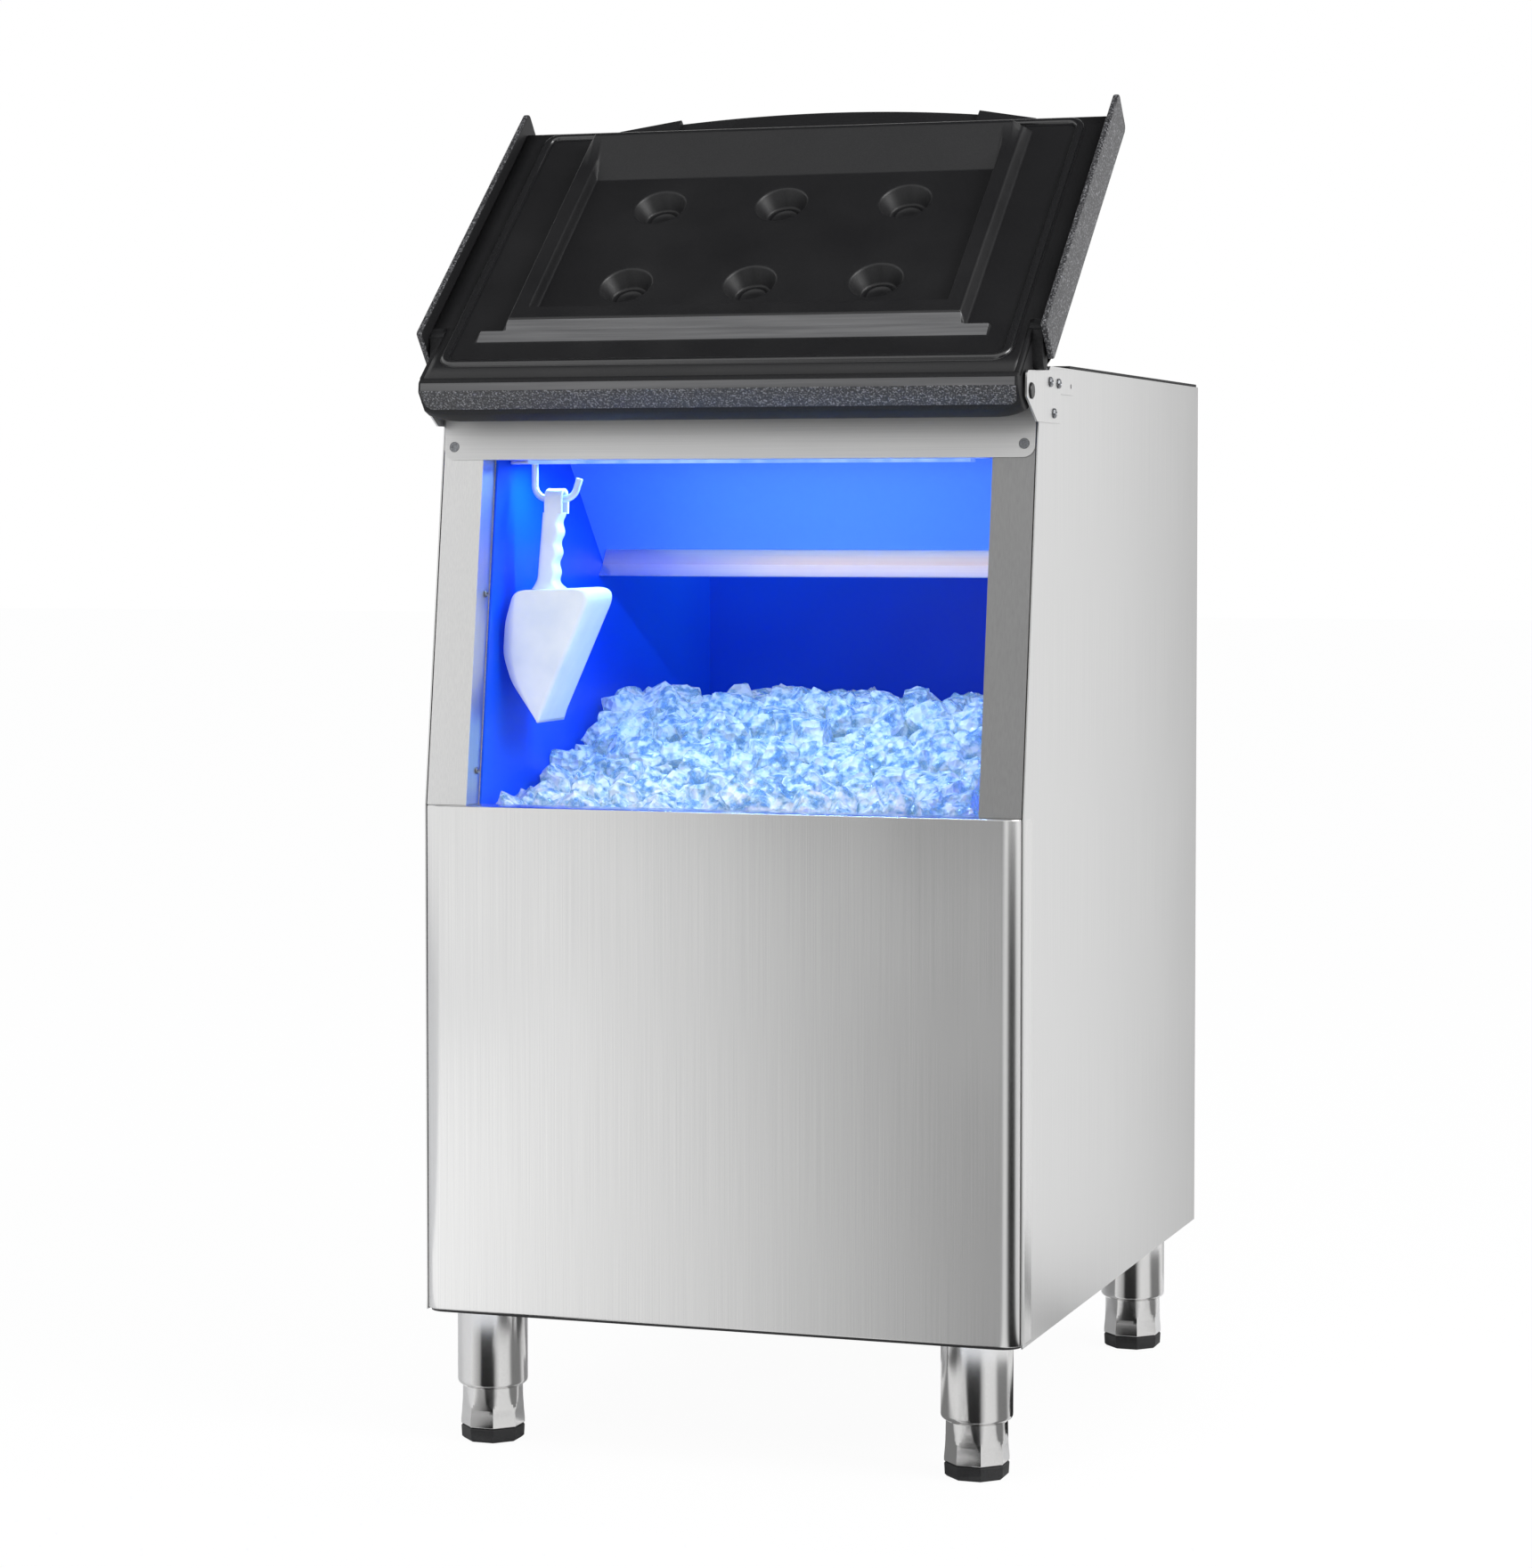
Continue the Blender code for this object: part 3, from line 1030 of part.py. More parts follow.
def build_inner_panel(plastic, frame):
    neck = LUG_INNER - GAP
    wide = WING_INNER - GAP
    across = mirrored([DIMPLE_PITCH, SLOPE_FOOT_HALF, WELL_HALF, WELL_HALF + WELL_DRAFT,
                       SLOPE_CREST_HALF, RIM_HALF, RIM_FOOT, TIER_HALF, TIER_HALF + WALL_RUN, neck, wide])
    reaches = [-PANEL_START, TIER_START - WALL_RUN, TIER_START, TIER_END, TIER_END + WALL_RUN,
               LUG_BASE_END + GAP, RIM_START, WELL_START, WELL_START + WELL_DRAFT, SLOPE_START,
               (SLOPE_START + SLOPE_END) / 2, SLOPE_END, SLOPE_END + SLOPE_CREST, SLOPE_BACK,
               FREE_EDGE - GAP]
    shape = bmesh.new()
    tops = [[shape.verts.new((x, r, panel_level(x, r))) for x in across] for r in reaches]
    lows = [[shape.verts.new((x, r, panel_level(x, r) - PANEL_SHEET)) for x in across] for r in reaches]
    edges = {}
    for j in range(len(reaches) - 1):
        for i in range(len(across) - 1):
            outside = max(abs(across[i]), abs(across[i + 1])) > neck
            if outside and reaches[j] < LUG_BASE_END:
                continue
            shape.faces.new((tops[j][i], tops[j][i + 1], tops[j + 1][i + 1], tops[j + 1][i]))
            shape.faces.new((lows[j][i], lows[j + 1][i], lows[j + 1][i + 1], lows[j][i + 1]))
            corners = [(j, i), (j, i + 1), (j + 1, i + 1), (j + 1, i)]
            for a, b in zip(corners, corners[1:] + corners[:1]):
                edges[frozenset((a, b))] = edges.get(frozenset((a, b)), 0) + 1
    for pair, used in edges.items():
        if used == 1:
            (ja, ia), (jb, ib) = tuple(pair)
            shape.faces.new((tops[ja][ia], tops[jb][ib], lows[jb][ib], lows[ja][ia]))
    loose = [vert for vert in shape.verts if not vert.link_faces]
    bmesh.ops.delete(shape, geom=loose, context="VERTS")
    bmesh.ops.recalc_face_normals(shape, faces=shape.faces)
    panel = add("lid_inner_panel", shape, plastic, parent=frame)
    for row, reach in enumerate(DIMPLE_REACHES):
        for column in (-1, 0, 1):
            place = (column * DIMPLE_PITCH, reach, 0)
            label = "{}_{}".format(row + 1, column + 2)
            join(panel, dimple(PANEL_SHEET, WELL - PANEL_SHEET / 2, place), "cup_" + label)
            cut(panel, dimple(0, WELL + OVERRUN, place), "dimple_" + label)


def dimple(wall, top, place):
    """A dimple's cone, made larger all over by a wall."""
    low = WELL - DIMPLE_DEPTH - wall
    flare = (DIMPLE_RADIUS - DIMPLE_FLOOR_RADIUS) / DIMPLE_DEPTH
    low_radius = DIMPLE_FLOOR_RADIUS + wall / 2
    mouth = min(top, WELL)
    profile = [(0, low), (low_radius, low), (low_radius + flare * (mouth - low), mouth)]
    if top > mouth:
        profile.append((low_radius + flare * (mouth - low), top))
    cone = turned(profile + [(0, top)], ROUND_STEPS)
    bmesh.ops.translate(cone, verts=cone.verts, vec=place)
    return cone


def build_lid_core(foam, frame):
    """The foam that fills the shell under the inner panel."""
    wall = LID_WALL + GAP
    neck = NECK_HALF
    top = WELL - PANEL_SHEET - GAP
    core = add("lid_foam", lid_solid(neck - wall, wall, wall - PANEL_START, FREE_EDGE - wall, top),
               foam, parent=frame)
    for row, reach in enumerate(DIMPLE_REACHES):
        for column in (-1, 0, 1):
            place = (column * DIMPLE_PITCH, reach, 0)
            hollow = dimple(PANEL_SHEET + 2 * GAP, WELL, place)
            cut(core, hollow, "hollow_{}_{}".format(row + 1, column + 2))


def build_seal(rubber, frame):
    """The bead that seals the closed lid against the frame."""
    half = SEAL_WIDTH / 2
    low = LID_MARGIN + GAP
    high = SEAL_LEVEL
    section = [(-half, low), (-half, low + (high - low) * 0.4), (-half * 0.5, high),
               (half * 0.5, high), (half, low + (high - low) * 0.4), (half, low)]
    path = [Vector((x, y, 0)) for x, y in rounded_rectangle(SEAL_HALF, SEAL_START, SEAL_END, SEAL_CORNER)]
    add("lid_gasket", swept(path, section, True, Vector((0, 0, 1))), rubber, parent=frame)


def build_lid(plastic, foam, rubber):
    frame = empty("lid_hinge", (0, HINGE_Y, HINGE_Z), (LID_OPEN_TILT, 0, 0))
    build_lid_shell(plastic, frame)
    build_inner_panel(plastic, frame)
    build_lid_core(foam, frame)
    build_seal(rubber, frame)
    near = NECK_HALF + GAP
    far = SIDE_OUTER + GAP + BRACKET_SHEET + PIVOT_PROUD
    pivot = [(0, near), (PIVOT_RADIUS, near), (PIVOT_RADIUS, far - PIVOT_PROUD / 2),
             (PIVOT_RADIUS - PIVOT_PROUD / 2, far), (0, far)]
    for side, sign in (("left", -1), ("right", 1)):
        add("lid_pivot_" + side, turned(pivot, ROUND_STEPS), plastic, parent=frame,
            turn=(0, sign * math.pi / 2, 0))


# The scoop and its hook.


def build_hook(steel):
    """A bent rod hanging from a small plate under the lamp housing."""
    y = FRONT_Y + HOOK_DEPTH
    low = TOP_Z - HOOK_DROP
    plate_low = OPENING_TOP_Z - GAP - PLATE_THICKNESS
    bend = Vector((-HOOK_SHANK_SIDE + HOOK_BEND, low + HOOK_BEND))
    route = [(-HOOK_SHANK_SIDE, plate_low + PLATE_THICKNESS / 2)]
    route += arc(bend, HOOK_BEND, 180, 270, CORNER_STEPS)
    far = (bend.x + HOOK_FLAT, bend.y)
    route += arc(far, HOOK_BEND, 270, 270 + math.degrees(HOOK_TIP_ANGLE), CORNER_STEPS)
    tip = Vector(route[-1]) + HOOK_TIP * Vector((math.cos(HOOK_TIP_ANGLE), math.sin(HOOK_TIP_ANGLE)))
    route.append(tuple(tip))
    path = [Vector((x, y, z)) for x, z in route]
    round_steps = 12
    circle = [(HOOK_RADIUS * math.cos(math.tau * i / round_steps),
               HOOK_RADIUS * math.sin(math.tau * i / round_steps)) for i in range(round_steps)]
    hook = add("scoop_hook", swept(path, circle, False, Vector((0, 1, 0))), steel)
    plate = box((-PLATE_LEFT, -PLATE_RIGHT), (y - PLATE_DEPTH / 2, y + PLATE_DEPTH / 2),
                (plate_low, plate_low + PLATE_THICKNESS))
    join(hook, plate, "plate")


def build_scoop(plastic):
    """The scoop: a square-backed bowl with its mouth to the side, and a grip with an eye."""
    frame = empty("scoop_hinge", (-HOOK_SHANK_SIDE + HOOK_BEND + HOOK_FLAT / 2,
                                  FRONT_Y + HOOK_DEPTH, TOP_Z - HOOK_DROP))
    top = -SCOOP_HANG
    low = top - SCOOP_LENGTH
    mouth_top = (-SCOOP_MOUTH_TOP, top - SCOOP_TOP_FALL)
    back = (SCOOP_BACK, top)
    lip = (-SCOOP_LIP, low)
    mouth = [((-SCOOP_BULGE * side, top - SCOOP_LENGTH * fall), SCOOP_CORNER)
             for side, fall in MOUTH_SHARES]
    side_view = filleted([(mouth_top, SCOOP_MOUTH_CORNER), (back, SCOOP_CORNER), (lip, 0)] + mouth)
    half = SCOOP_WIDTH / 2
    bowl = add("scoop", prism(side_view, -half, half, "Y"), plastic, parent=frame)

    floor = (Vector(lip) - Vector(back)).normalized()
    inward = Vector((floor.y, -floor.x)) * SCOOP_WALL
    wall = SCOOP_WALL
    run_out = Vector(lip) + inward + floor * OVERRUN
    inner_back = (back[0] + inward.x - floor.x * wall / floor.y, top - wall)
    space = filleted([((-SCOOP_BULGE - OVERRUN, top - SCOOP_TOP_FALL - wall), 0),
                      (inner_back, SCOOP_CORNER - wall), (tuple(run_out), 0),
                      ((-SCOOP_BULGE - OVERRUN, run_out.y), 0)])
    cut(bowl, prism(space, wall - half, half - wall, "Y"), "space")

    left_top = (-GRIP_WIDTH / 2 + GROOVE_DEPTH / 2, GRIP_TOP)
    right_top = (GRIP_WIDTH / 2 + GROOVE_DEPTH, GRIP_TOP)
    fall = GRIP_TOP - top
    groove_run = fall - 2 * GRIP_FLARE
    points = GROOVES * 4
    grooves = []
    for i in range(points + 1):
        share = i / points
        wave = GROOVE_DEPTH * math.cos(math.tau * GROOVES * share)
        lean = GRIP_LEAN * (share * groove_run + GRIP_FLARE / 2) / fall
        grooves.append((GRIP_WIDTH / 2 - lean + wave, GRIP_TOP - GRIP_FLARE / 2 - groove_run * share))
    right_foot = GRIP_WIDTH / 2 - GRIP_LEAN + GRIP_FLARE
    left_foot = -GRIP_WIDTH / 2 - GRIP_LEAN - GRIP_FLARE / 2

    def middle_of_top(x):
        share = (SCOOP_BACK - x) / (SCOOP_BACK + SCOOP_MOUTH_TOP)
        return top - SCOOP_TOP_FALL * share - SCOOP_WALL / 2

    flare_right = [(right_foot, middle_of_top(right_foot))]
    flare_left = [(left_foot, middle_of_top(left_foot)),
                  (-GRIP_WIDTH / 2 - GRIP_LEAN, top + GRIP_FLARE * 1.5)]
    grip = ([(left_top[0] + GRIP_CORNER / 2, GRIP_TOP), (right_top[0] - GRIP_CORNER / 2, GRIP_TOP)]
            + grooves + flare_right + flare_left + [(left_top[0], GRIP_TOP - GRIP_CORNER / 2)])
    join(bowl, prism(grip, -GRIP_DEPTH / 2, GRIP_DEPTH / 2, "Y"), "grip")
    eye = box((-GRIP_WIDTH, GRIP_WIDTH), (-EYE_WIDTH / 2, EYE_WIDTH / 2),
              (-EYE_BELOW, HOOK_RADIUS + EYE_CLEARANCE))
    cut(bowl, eye, "eye")


# The whole bin.

STEEL = material("brushed_steel", (0.62, 0.62, 0.62), 0.34, 1.0)
POLISHED = material("polished_steel", (0.66, 0.66, 0.67), 0.18, 1.0)
ZINC = material("zinc_steel", (0.45, 0.46, 0.48), 0.40, 1.0)
BLUE = material("blue_liner", (0.01, 0.10, 0.85), 0.45, 0.0)
LIP_STEEL = material("lip_steel", (0.55, 0.56, 0.80), 0.35, 0.8)
BLACK = material("black_moulding", (0.022, 0.022, 0.024), 0.50, 0.0)
RUBBER = material("black_rubber", (0.012, 0.012, 0.013), 0.65, 0.0)
FOAM = material("foam", (0.80, 0.74, 0.55), 0.90, 0.0)
WHITE = material("white_plastic", (0.82, 0.86, 0.95), 0.35, 0.0)
GLOW = material("lamp_lens", (0.55, 0.75, 1.0), 0.25, 0.0)

build_panels(STEEL, BLACK)
build_frame(STEEL, ZINC)
build_top(STEEL, RUBBER)
build_liner(BLUE, FOAM)
build_drain(POLISHED, WHITE)
build_baffle(LIP_STEEL)
build_lamp(WHITE, GLOW)
build_brackets(STEEL, ZINC)
build_legs(POLISHED, RUBBER)
build_lid(BLACK, FOAM, RUBBER)
build_hook(POLISHED)
build_scoop(WHITE)
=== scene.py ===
"""The looks of the ice storage bin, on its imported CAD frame.

The sections follow the bin as it is put together: legs, case, store, top, deflector, lamp, front
frame, hinge brackets, lid, hook, scoop and ice, and then the studio. Metres throughout.
"""

import math

import bmesh
import bpy
import numpy as np
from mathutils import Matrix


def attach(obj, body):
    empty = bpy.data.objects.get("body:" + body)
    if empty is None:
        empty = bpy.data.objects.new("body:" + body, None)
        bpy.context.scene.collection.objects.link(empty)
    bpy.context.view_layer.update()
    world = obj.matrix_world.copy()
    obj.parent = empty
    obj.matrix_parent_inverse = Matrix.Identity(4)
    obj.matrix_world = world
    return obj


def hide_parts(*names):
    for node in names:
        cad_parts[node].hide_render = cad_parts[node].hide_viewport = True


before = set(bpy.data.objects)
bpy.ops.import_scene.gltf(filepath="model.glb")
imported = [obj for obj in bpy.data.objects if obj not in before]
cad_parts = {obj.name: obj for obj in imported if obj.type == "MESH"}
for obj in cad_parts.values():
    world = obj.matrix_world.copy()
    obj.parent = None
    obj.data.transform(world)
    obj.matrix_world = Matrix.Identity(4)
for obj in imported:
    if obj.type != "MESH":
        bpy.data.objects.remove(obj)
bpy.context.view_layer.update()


# Leg sleeves: four tubes of drawn stainless steel, about 64 mm across, fixed under the case at its
# corners. Each is turned and polished, with a rounded lower lip over the foot that screws into it.

SLEEVE_RADIUS, SLEEVE_BORE, SLEEVE_LIP = 0.0319, 0.0153, 0.0045
SLEEVE_TOP, SLEEVE_LOW = 0.1217, 0.0512
LEG_PLACES = {
    "front_left": (-0.2296, -0.296472), "front_right": (0.2296, -0.296472),
    "back_left": (-0.2296, 0.290528), "back_right": (0.2296, 0.290528),
}


def surface(points, wrap_rows=False, wrap_columns=False, caps=False):
    """Faces over a grid of points: each point joins the next one in its row and in its column.
    Rows or columns may close on themselves, and caps closes the first and the last row."""
    rows, columns = points.shape[:2]
    i, j = np.meshgrid(np.arange(rows - (not wrap_rows)), np.arange(columns - (not wrap_columns)),
                       indexing="ij")
    near, far, beside = i * columns, (i + 1) % rows * columns, (j + 1) % columns
    quads = np.stack([near + j, near + beside, far + beside, far + j], -1).reshape(-1, 4)
    ends = [np.arange(columns)[::-1], np.arange(columns) + (rows - 1) * columns] if caps else []
    return points.reshape(-1, 3), quads, ends


def make_piece(name, parts, finish, body, replaces=(), crease=35):
    """One object from several surfaces: their points in one row, their faces moved on by the points
    before them, doubles merged, and every face turned outwards."""
    starts = np.cumsum([0] + [len(points) for points, _, _ in parts])
    faces = np.concatenate([quads + start for (_, quads, _), start in zip(parts, starts)]).tolist()
    for (_, _, ends), start in zip(parts, starts):
        faces += [(end + start).tolist() for end in ends]
    mesh = bpy.data.meshes.new(name)
    mesh.from_pydata(np.concatenate([points for points, _, _ in parts]).tolist(), [], faces)
    whole = bmesh.new()
    whole.from_mesh(mesh)
    bmesh.ops.remove_doubles(whole, verts=whole.verts, dist=1e-6)
    bmesh.ops.recalc_face_normals(whole, faces=whole.faces)
    whole.to_mesh(mesh)
    whole.free()
    mesh.shade_smooth()
    mesh.set_sharp_from_angle(angle=math.radians(crease))
    mesh.materials.append(finish)
    piece = bpy.data.objects.new(name, mesh)
    bpy.context.scene.collection.objects.link(piece)
    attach(piece, body)
    if replaces:
        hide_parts(*replaces)
    return piece


def turned(profile, centre, steps=64):
    """A profile of (radius, height) turned about an upright axis: x and y are the centre's plus the
    radius times the cosine and sine of the angle, and z is the height."""
    radius, height = np.array(profile, float).T[:, :, None]
    around = np.linspace(0, math.tau, steps, endpoint=False)
    return surface(np.stack([centre[0] + radius * np.cos(around), centre[1] + radius * np.sin(around),
                             height + 0 * around], -1), wrap_columns=True)


def quarter(a, b, radius, start, steps=5):
    """Points on a quarter circle round (a, b) from a starting angle in degrees, turning left."""
    angle = np.radians(start + np.linspace(0, 90, steps + 1))
    return list(zip(a + radius * np.cos(angle), b + radius * np.sin(angle)))


def new_finish(name, colour, roughness, metallic=0.0, **sockets):
    """A node material: its tree and shader come with it, and further sockets are set by name."""
    made = bpy.data.materials.new(name)
    made.use_nodes = True
    shader = made.node_tree.nodes["Principled BSDF"]
    shader.inputs["Base Color"].default_value = (*colour, 1)
    shader.inputs["Roughness"].default_value = roughness
    shader.inputs["Metallic"].default_value = metallic
    for socket, value in sockets.items():
        shader.inputs[socket.replace("_", " ")].default_value = value
    return made, made.node_tree, shader


def noise(tree, cells, detail=2.0, seed=0.0, kind="ShaderNodeTexNoise"):
    """A noise read in Object coordinates, with so many cells in a metre: one number, or three for
    x, y and z."""
    place = tree.nodes.new("ShaderNodeTexCoord")
    stretch = tree.nodes.new("ShaderNodeMapping")
    stretch.inputs["Scale"].default_value = np.broadcast_to(cells, 3)
    stretch.inputs["Location"].default_value = (seed, seed, seed)
    field = tree.nodes.new(kind)
    field.inputs["Scale"].default_value = 1.0
    field.inputs["Detail"].default_value = detail
    tree.links.new(place.outputs["Object"], stretch.inputs["Vector"])
    tree.links.new(stretch.outputs["Vector"], field.inputs["Vector"])
    return field.outputs[0]


def spread(tree, value, low, high, to_low, to_high):
    """A value carried from one range to another in a straight line, held at both ends."""
    step = tree.nodes.new("ShaderNodeMapRange")
    ends = {"From Min": low, "From Max": high, "To Min": to_low, "To Max": to_high}
    for socket, number in ends.items():
        step.inputs[socket].default_value = number
    tree.links.new(value, step.inputs["Value"])
    return step.outputs["Result"]


def tint(tree, factor, *stops):
    """Colours along a ramp of (place, colour) stops."""
    ramp = tree.nodes.new("ShaderNodeValToRGB")
    stages = ramp.color_ramp.elements
    while len(stages) < len(stops):
        stages.new(0.5)
    for stage, (place, colour) in zip(stages, stops):
        stage.position = place
        stage.color = (*colour, 1)
    tree.links.new(factor, ramp.inputs["Fac"])
    return ramp.outputs["Color"]


def mottle(tree, shader, field, dark, light, low=0.3, high=0.7):
    """The shader's colour goes from dark to light while the field goes from low to high."""
    tree.links.new(tint(tree, field, (low, dark), (high, light)), shader.inputs["Base Color"])


def relief(tree, shader, height, strength, depth):
    """Bumps of a depth in metres, from a height field."""
    step = tree.nodes.new("ShaderNodeBump")
    step.inputs["Strength"].default_value = strength
    step.inputs["Distance"].default_value = depth
    tree.links.new(height, step.inputs["Height"])
    tree.links.new(step.outputs["Normal"], shader.inputs["Normal"])


def steel(name, dark, light, rough, cells, strength=0.25):
    """Stainless steel with a grain: long noise cells give its colour and fine scratches, and a wide,
    soft noise carries its roughness between two values."""
    made, tree, shader = new_finish(name, light, rough[0], 1.0)
    grain = noise(tree, cells, 4.0)
    mottle(tree, shader, grain, dark, light)
    cloud = noise(tree, (9, 9, 5), 2.0, seed=3.0)
    tree.links.new(spread(tree, cloud, 0.3, 0.7, *rough), shader.inputs["Roughness"])
    relief(tree, shader, grain, strength, 0.00005)
    return made


polished = steel("polished_leg_steel", (0.74, 0.735, 0.73), (0.80, 0.795, 0.79), (0.13, 0.16),
                 900, 0.01)

low_lip = quarter(SLEEVE_RADIUS - SLEEVE_LIP, SLEEVE_LOW + SLEEVE_LIP, SLEEVE_LIP, -90)
sleeve = [(SLEEVE_BORE, SLEEVE_LOW), (SLEEVE_RADIUS - SLEEVE_LIP, SLEEVE_LOW), *low_lip,
          (SLEEVE_RADIUS, SLEEVE_TOP), (SLEEVE_BORE, SLEEVE_TOP), (SLEEVE_BORE, SLEEVE_LOW)]
for place, centre in LEG_PLACES.items():
    make_piece("sleeve_" + place, [turned(sleeve, centre)], polished, "cabinet",
               ["leg_sleeve_" + place])


# Feet: cast stainless feet that screw up into the sleeves. Each is round at the top and runs out to
# an eight-sided base with flats for a wrench, and stands on a black rubber pad of the same form.

FOOT_TOP, FOOT_LOW, PAD_TOP, PAD_LOW = 0.0509, 0.0130, 0.0127, 0.0003
STEM_RADIUS, STEM_LOW, STEM_TOP = 0.0149, 0.0500, 0.0950
FREE = 1  # a radius or a flat so wide that it cuts nothing


def eight_sided(rows, centre, steps=96):
    """Rings of (radius, flat, height): each is a circle of the radius, cut where it is wider than an
    octagon, whose reach is its flat's distance over the cosine of the angle from that flat."""
    radius, flat, height = np.array(rows, float).T[:, :, None]
    around = np.linspace(0, math.tau, steps, endpoint=False)
    from_flat = (around + math.pi / 8) % (math.pi / 4) - math.pi / 8
    reach = np.minimum(radius, flat / np.cos(from_flat))
    return surface(np.stack([centre[0] + reach * np.cos(around), centre[1] + reach * np.sin(around),
                             height + 0 * around], -1), wrap_columns=True)


rubber, tree, shader = new_finish("black_rubber_look", (0.012, 0.012, 0.013), 0.6)
pores = noise(tree, 900)
mottle(tree, shader, pores, (0.008, 0.008, 0.009), (0.022, 0.022, 0.023))
relief(tree, shader, pores, 0.3, 0.0001)

foot_rows = [(0, FREE, FOOT_LOW), (FREE, 0.0258, FOOT_LOW), (FREE, 0.0268, FOOT_LOW + 0.0014),
             (FREE, 0.0268, 0.0180), (0.0287, 0.0261, 0.0260), (0.0282, 0.0259, 0.0295),
             (0.0279, 0.0262, 0.0318), (0.0277, 0.0265, 0.0345), (0.0275, 0.02685, 0.0385),
             (0.0274, 0.0270, 0.0440), (0.0273, 0.0270, 0.0498), (0.0265, FREE, FOOT_TOP),
             (0, FREE, FOOT_TOP)]
pad_rows = [(0, FREE, PAD_LOW), (FREE, 0.0242, PAD_LOW), (FREE, 0.0262, 0.0022),
            (FREE, 0.0267, 0.0120), (FREE, 0.0262, PAD_TOP), (0, FREE, PAD_TOP)]
stem = [(0, STEM_LOW), (STEM_RADIUS, STEM_LOW), (STEM_RADIUS, STEM_TOP), (0, STEM_TOP)]
for place, centre in LEG_PLACES.items():
    make_piece("foot_body_" + place, [eight_sided(foot_rows, centre), turned(stem, centre, 32)],
               polished, "foot_" + place, ["foot_" + place], crease=9)
    make_piece("pad_" + place, [eight_sided(pad_rows, centre)], rubber, "foot_" + place,
               ["foot_pad_" + place], crease=20)


# Case: side, back and bottom sheets of brushed stainless steel, folded at their edges and foamed
# together with the liner. The brushing runs upright on every side.

SHEET_DARK, SHEET_LIGHT = (0.70, 0.70, 0.70), (0.765, 0.765, 0.76)
UPRIGHT_GRAIN, LEVEL_GRAIN = (1300, 1300, 5), (5, 1300, 1300)


def repaint(finish, *nodes):
    """Gives CAD nodes a new finish in their own material slots."""
    for name in nodes:
        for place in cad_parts[name].material_slots:
            place.material = finish


brushed = steel("brushed_case_steel", SHEET_DARK, SHEET_LIGHT, (0.32, 0.36), UPRIGHT_GRAIN, 0.12)
repaint(brushed, "side_panel_left", "side_panel_right", "back_panel", "bottom_panel")


# Front panel: one folded pan of brushed stainless steel below the opening, with wide round upright
# corners and a soft fold along its upper edge. A black trim strip closes the gap under it.

FRONT_Y, PAN_LOW, PAN_TOP, PAN_HALF = -0.341472, 0.1240, 0.5816, 0.2801
PAN_DEEP, PAN_BEND, PAN_EDGE = 0.0385, 0.0185, 0.0012


def plate(outline, low, high, edge, place, steps=3):
    """A plate with rounded edges, from an outline that turns left. At both faces the outline steps
    inwards by the edge times one minus the sine, and up by the edge times one minus the cosine."""
    outline = np.array(outline, float)
    last, following = outline - np.roll(outline, 1, 0), np.roll(outline, -1, 0) - outline
    last, following = (np.stack([run[:, 1], -run[:, 0]], 1) / np.linalg.norm(run, axis=1)[:, None]
                       for run in (last, following))
    miter = (last + following) / (1 + (last * following).sum(1))[:, None]
    angle = np.linspace(0, math.pi / 2, steps + 1)
    inset, rise = edge * (1 - np.sin(angle)), edge * (1 - np.cos(angle))
    inset, level = np.r_[inset, inset[::-1]], np.r_[low + rise, (high - rise)[::-1]]
    flat = outline - inset[:, None, None] * miter
    return surface(place(flat[..., 0], flat[..., 1], level[:, None] + 0 * flat[..., 0]),
                   wrap_columns=True, caps=True)


def upright(a, b, c):
    """Plan coordinates with the plate's thickness upright."""
    return np.stack([a, b, c], -1)


plan = [(PAN_HALF, FRONT_Y + PAN_DEEP), (-PAN_HALF, FRONT_Y + PAN_DEEP)]
plan += quarter(-PAN_HALF + PAN_BEND, FRONT_Y + PAN_BEND, PAN_BEND, 180, 14)
plan += quarter(PAN_HALF - PAN_BEND, FRONT_Y + PAN_BEND, PAN_BEND, 270, 14)
pan_steel = steel("brushed_pan_steel", SHEET_DARK, SHEET_LIGHT, (0.23, 0.27), UPRIGHT_GRAIN, 0.12)
make_piece("front_pan", [plate(plan, PAN_LOW, PAN_TOP, PAN_EDGE, upright)], pan_steel, "cabinet",
           ["front_panel"], crease=50)

trim, tree, shader = new_finish("black_trim", (0.010, 0.010, 0.011), 0.45)
streaks = noise(tree, (60, 60, 900))
tree.links.new(spread(tree, streaks, 0.3, 0.7, 0.38, 0.55), shader.inputs["Roughness"])
relief(tree, shader, streaks, 0.2, 0.0001)
repaint(trim, "bottom_trim")


# Store: a tub of smooth blue plastic with rigid foam between it and the case, and a white drain
# fitting with a slotted steel strainer in its floor.

liner, tree, shader = new_finish("blue_liner_look", (0.0, 0.10, 0.95), 0.42, Specular_IOR_Level=0.35)
mottle(tree, shader, noise(tree, (3, 3, 4)), (0.0, 0.065, 0.80), (0.003, 0.12, 0.98))
relief(tree, shader, noise(tree, 260, seed=1.0), 0.06, 0.0002)
repaint(liner, "liner")

foam, tree, shader = new_finish("rigid_foam_look", (0.80, 0.72, 0.50), 0.9)
cells = noise(tree, 500, 4.0)
mottle(tree, shader, cells, (0.62, 0.53, 0.33), (0.84, 0.77, 0.56), 0.35, 0.65)
relief(tree, shader, cells, 0.6, 0.0006)
repaint(foam, "foam_left", "foam_right", "foam_back", "foam_bottom", "foam_front", "lid_foam")

moulded_white, tree, shader = new_finish("moulded_white", (0.80, 0.82, 0.86), 0.38)
haze = noise(tree, 120, 3.0)
mottle(tree, shader, haze, (0.74, 0.77, 0.82), (0.84, 0.86, 0.90))
relief(tree, shader, haze, 0.08, 0.0002)
repaint(moulded_white, "drain_fitting", "led_housing")
repaint(polished, "drain_strainer")


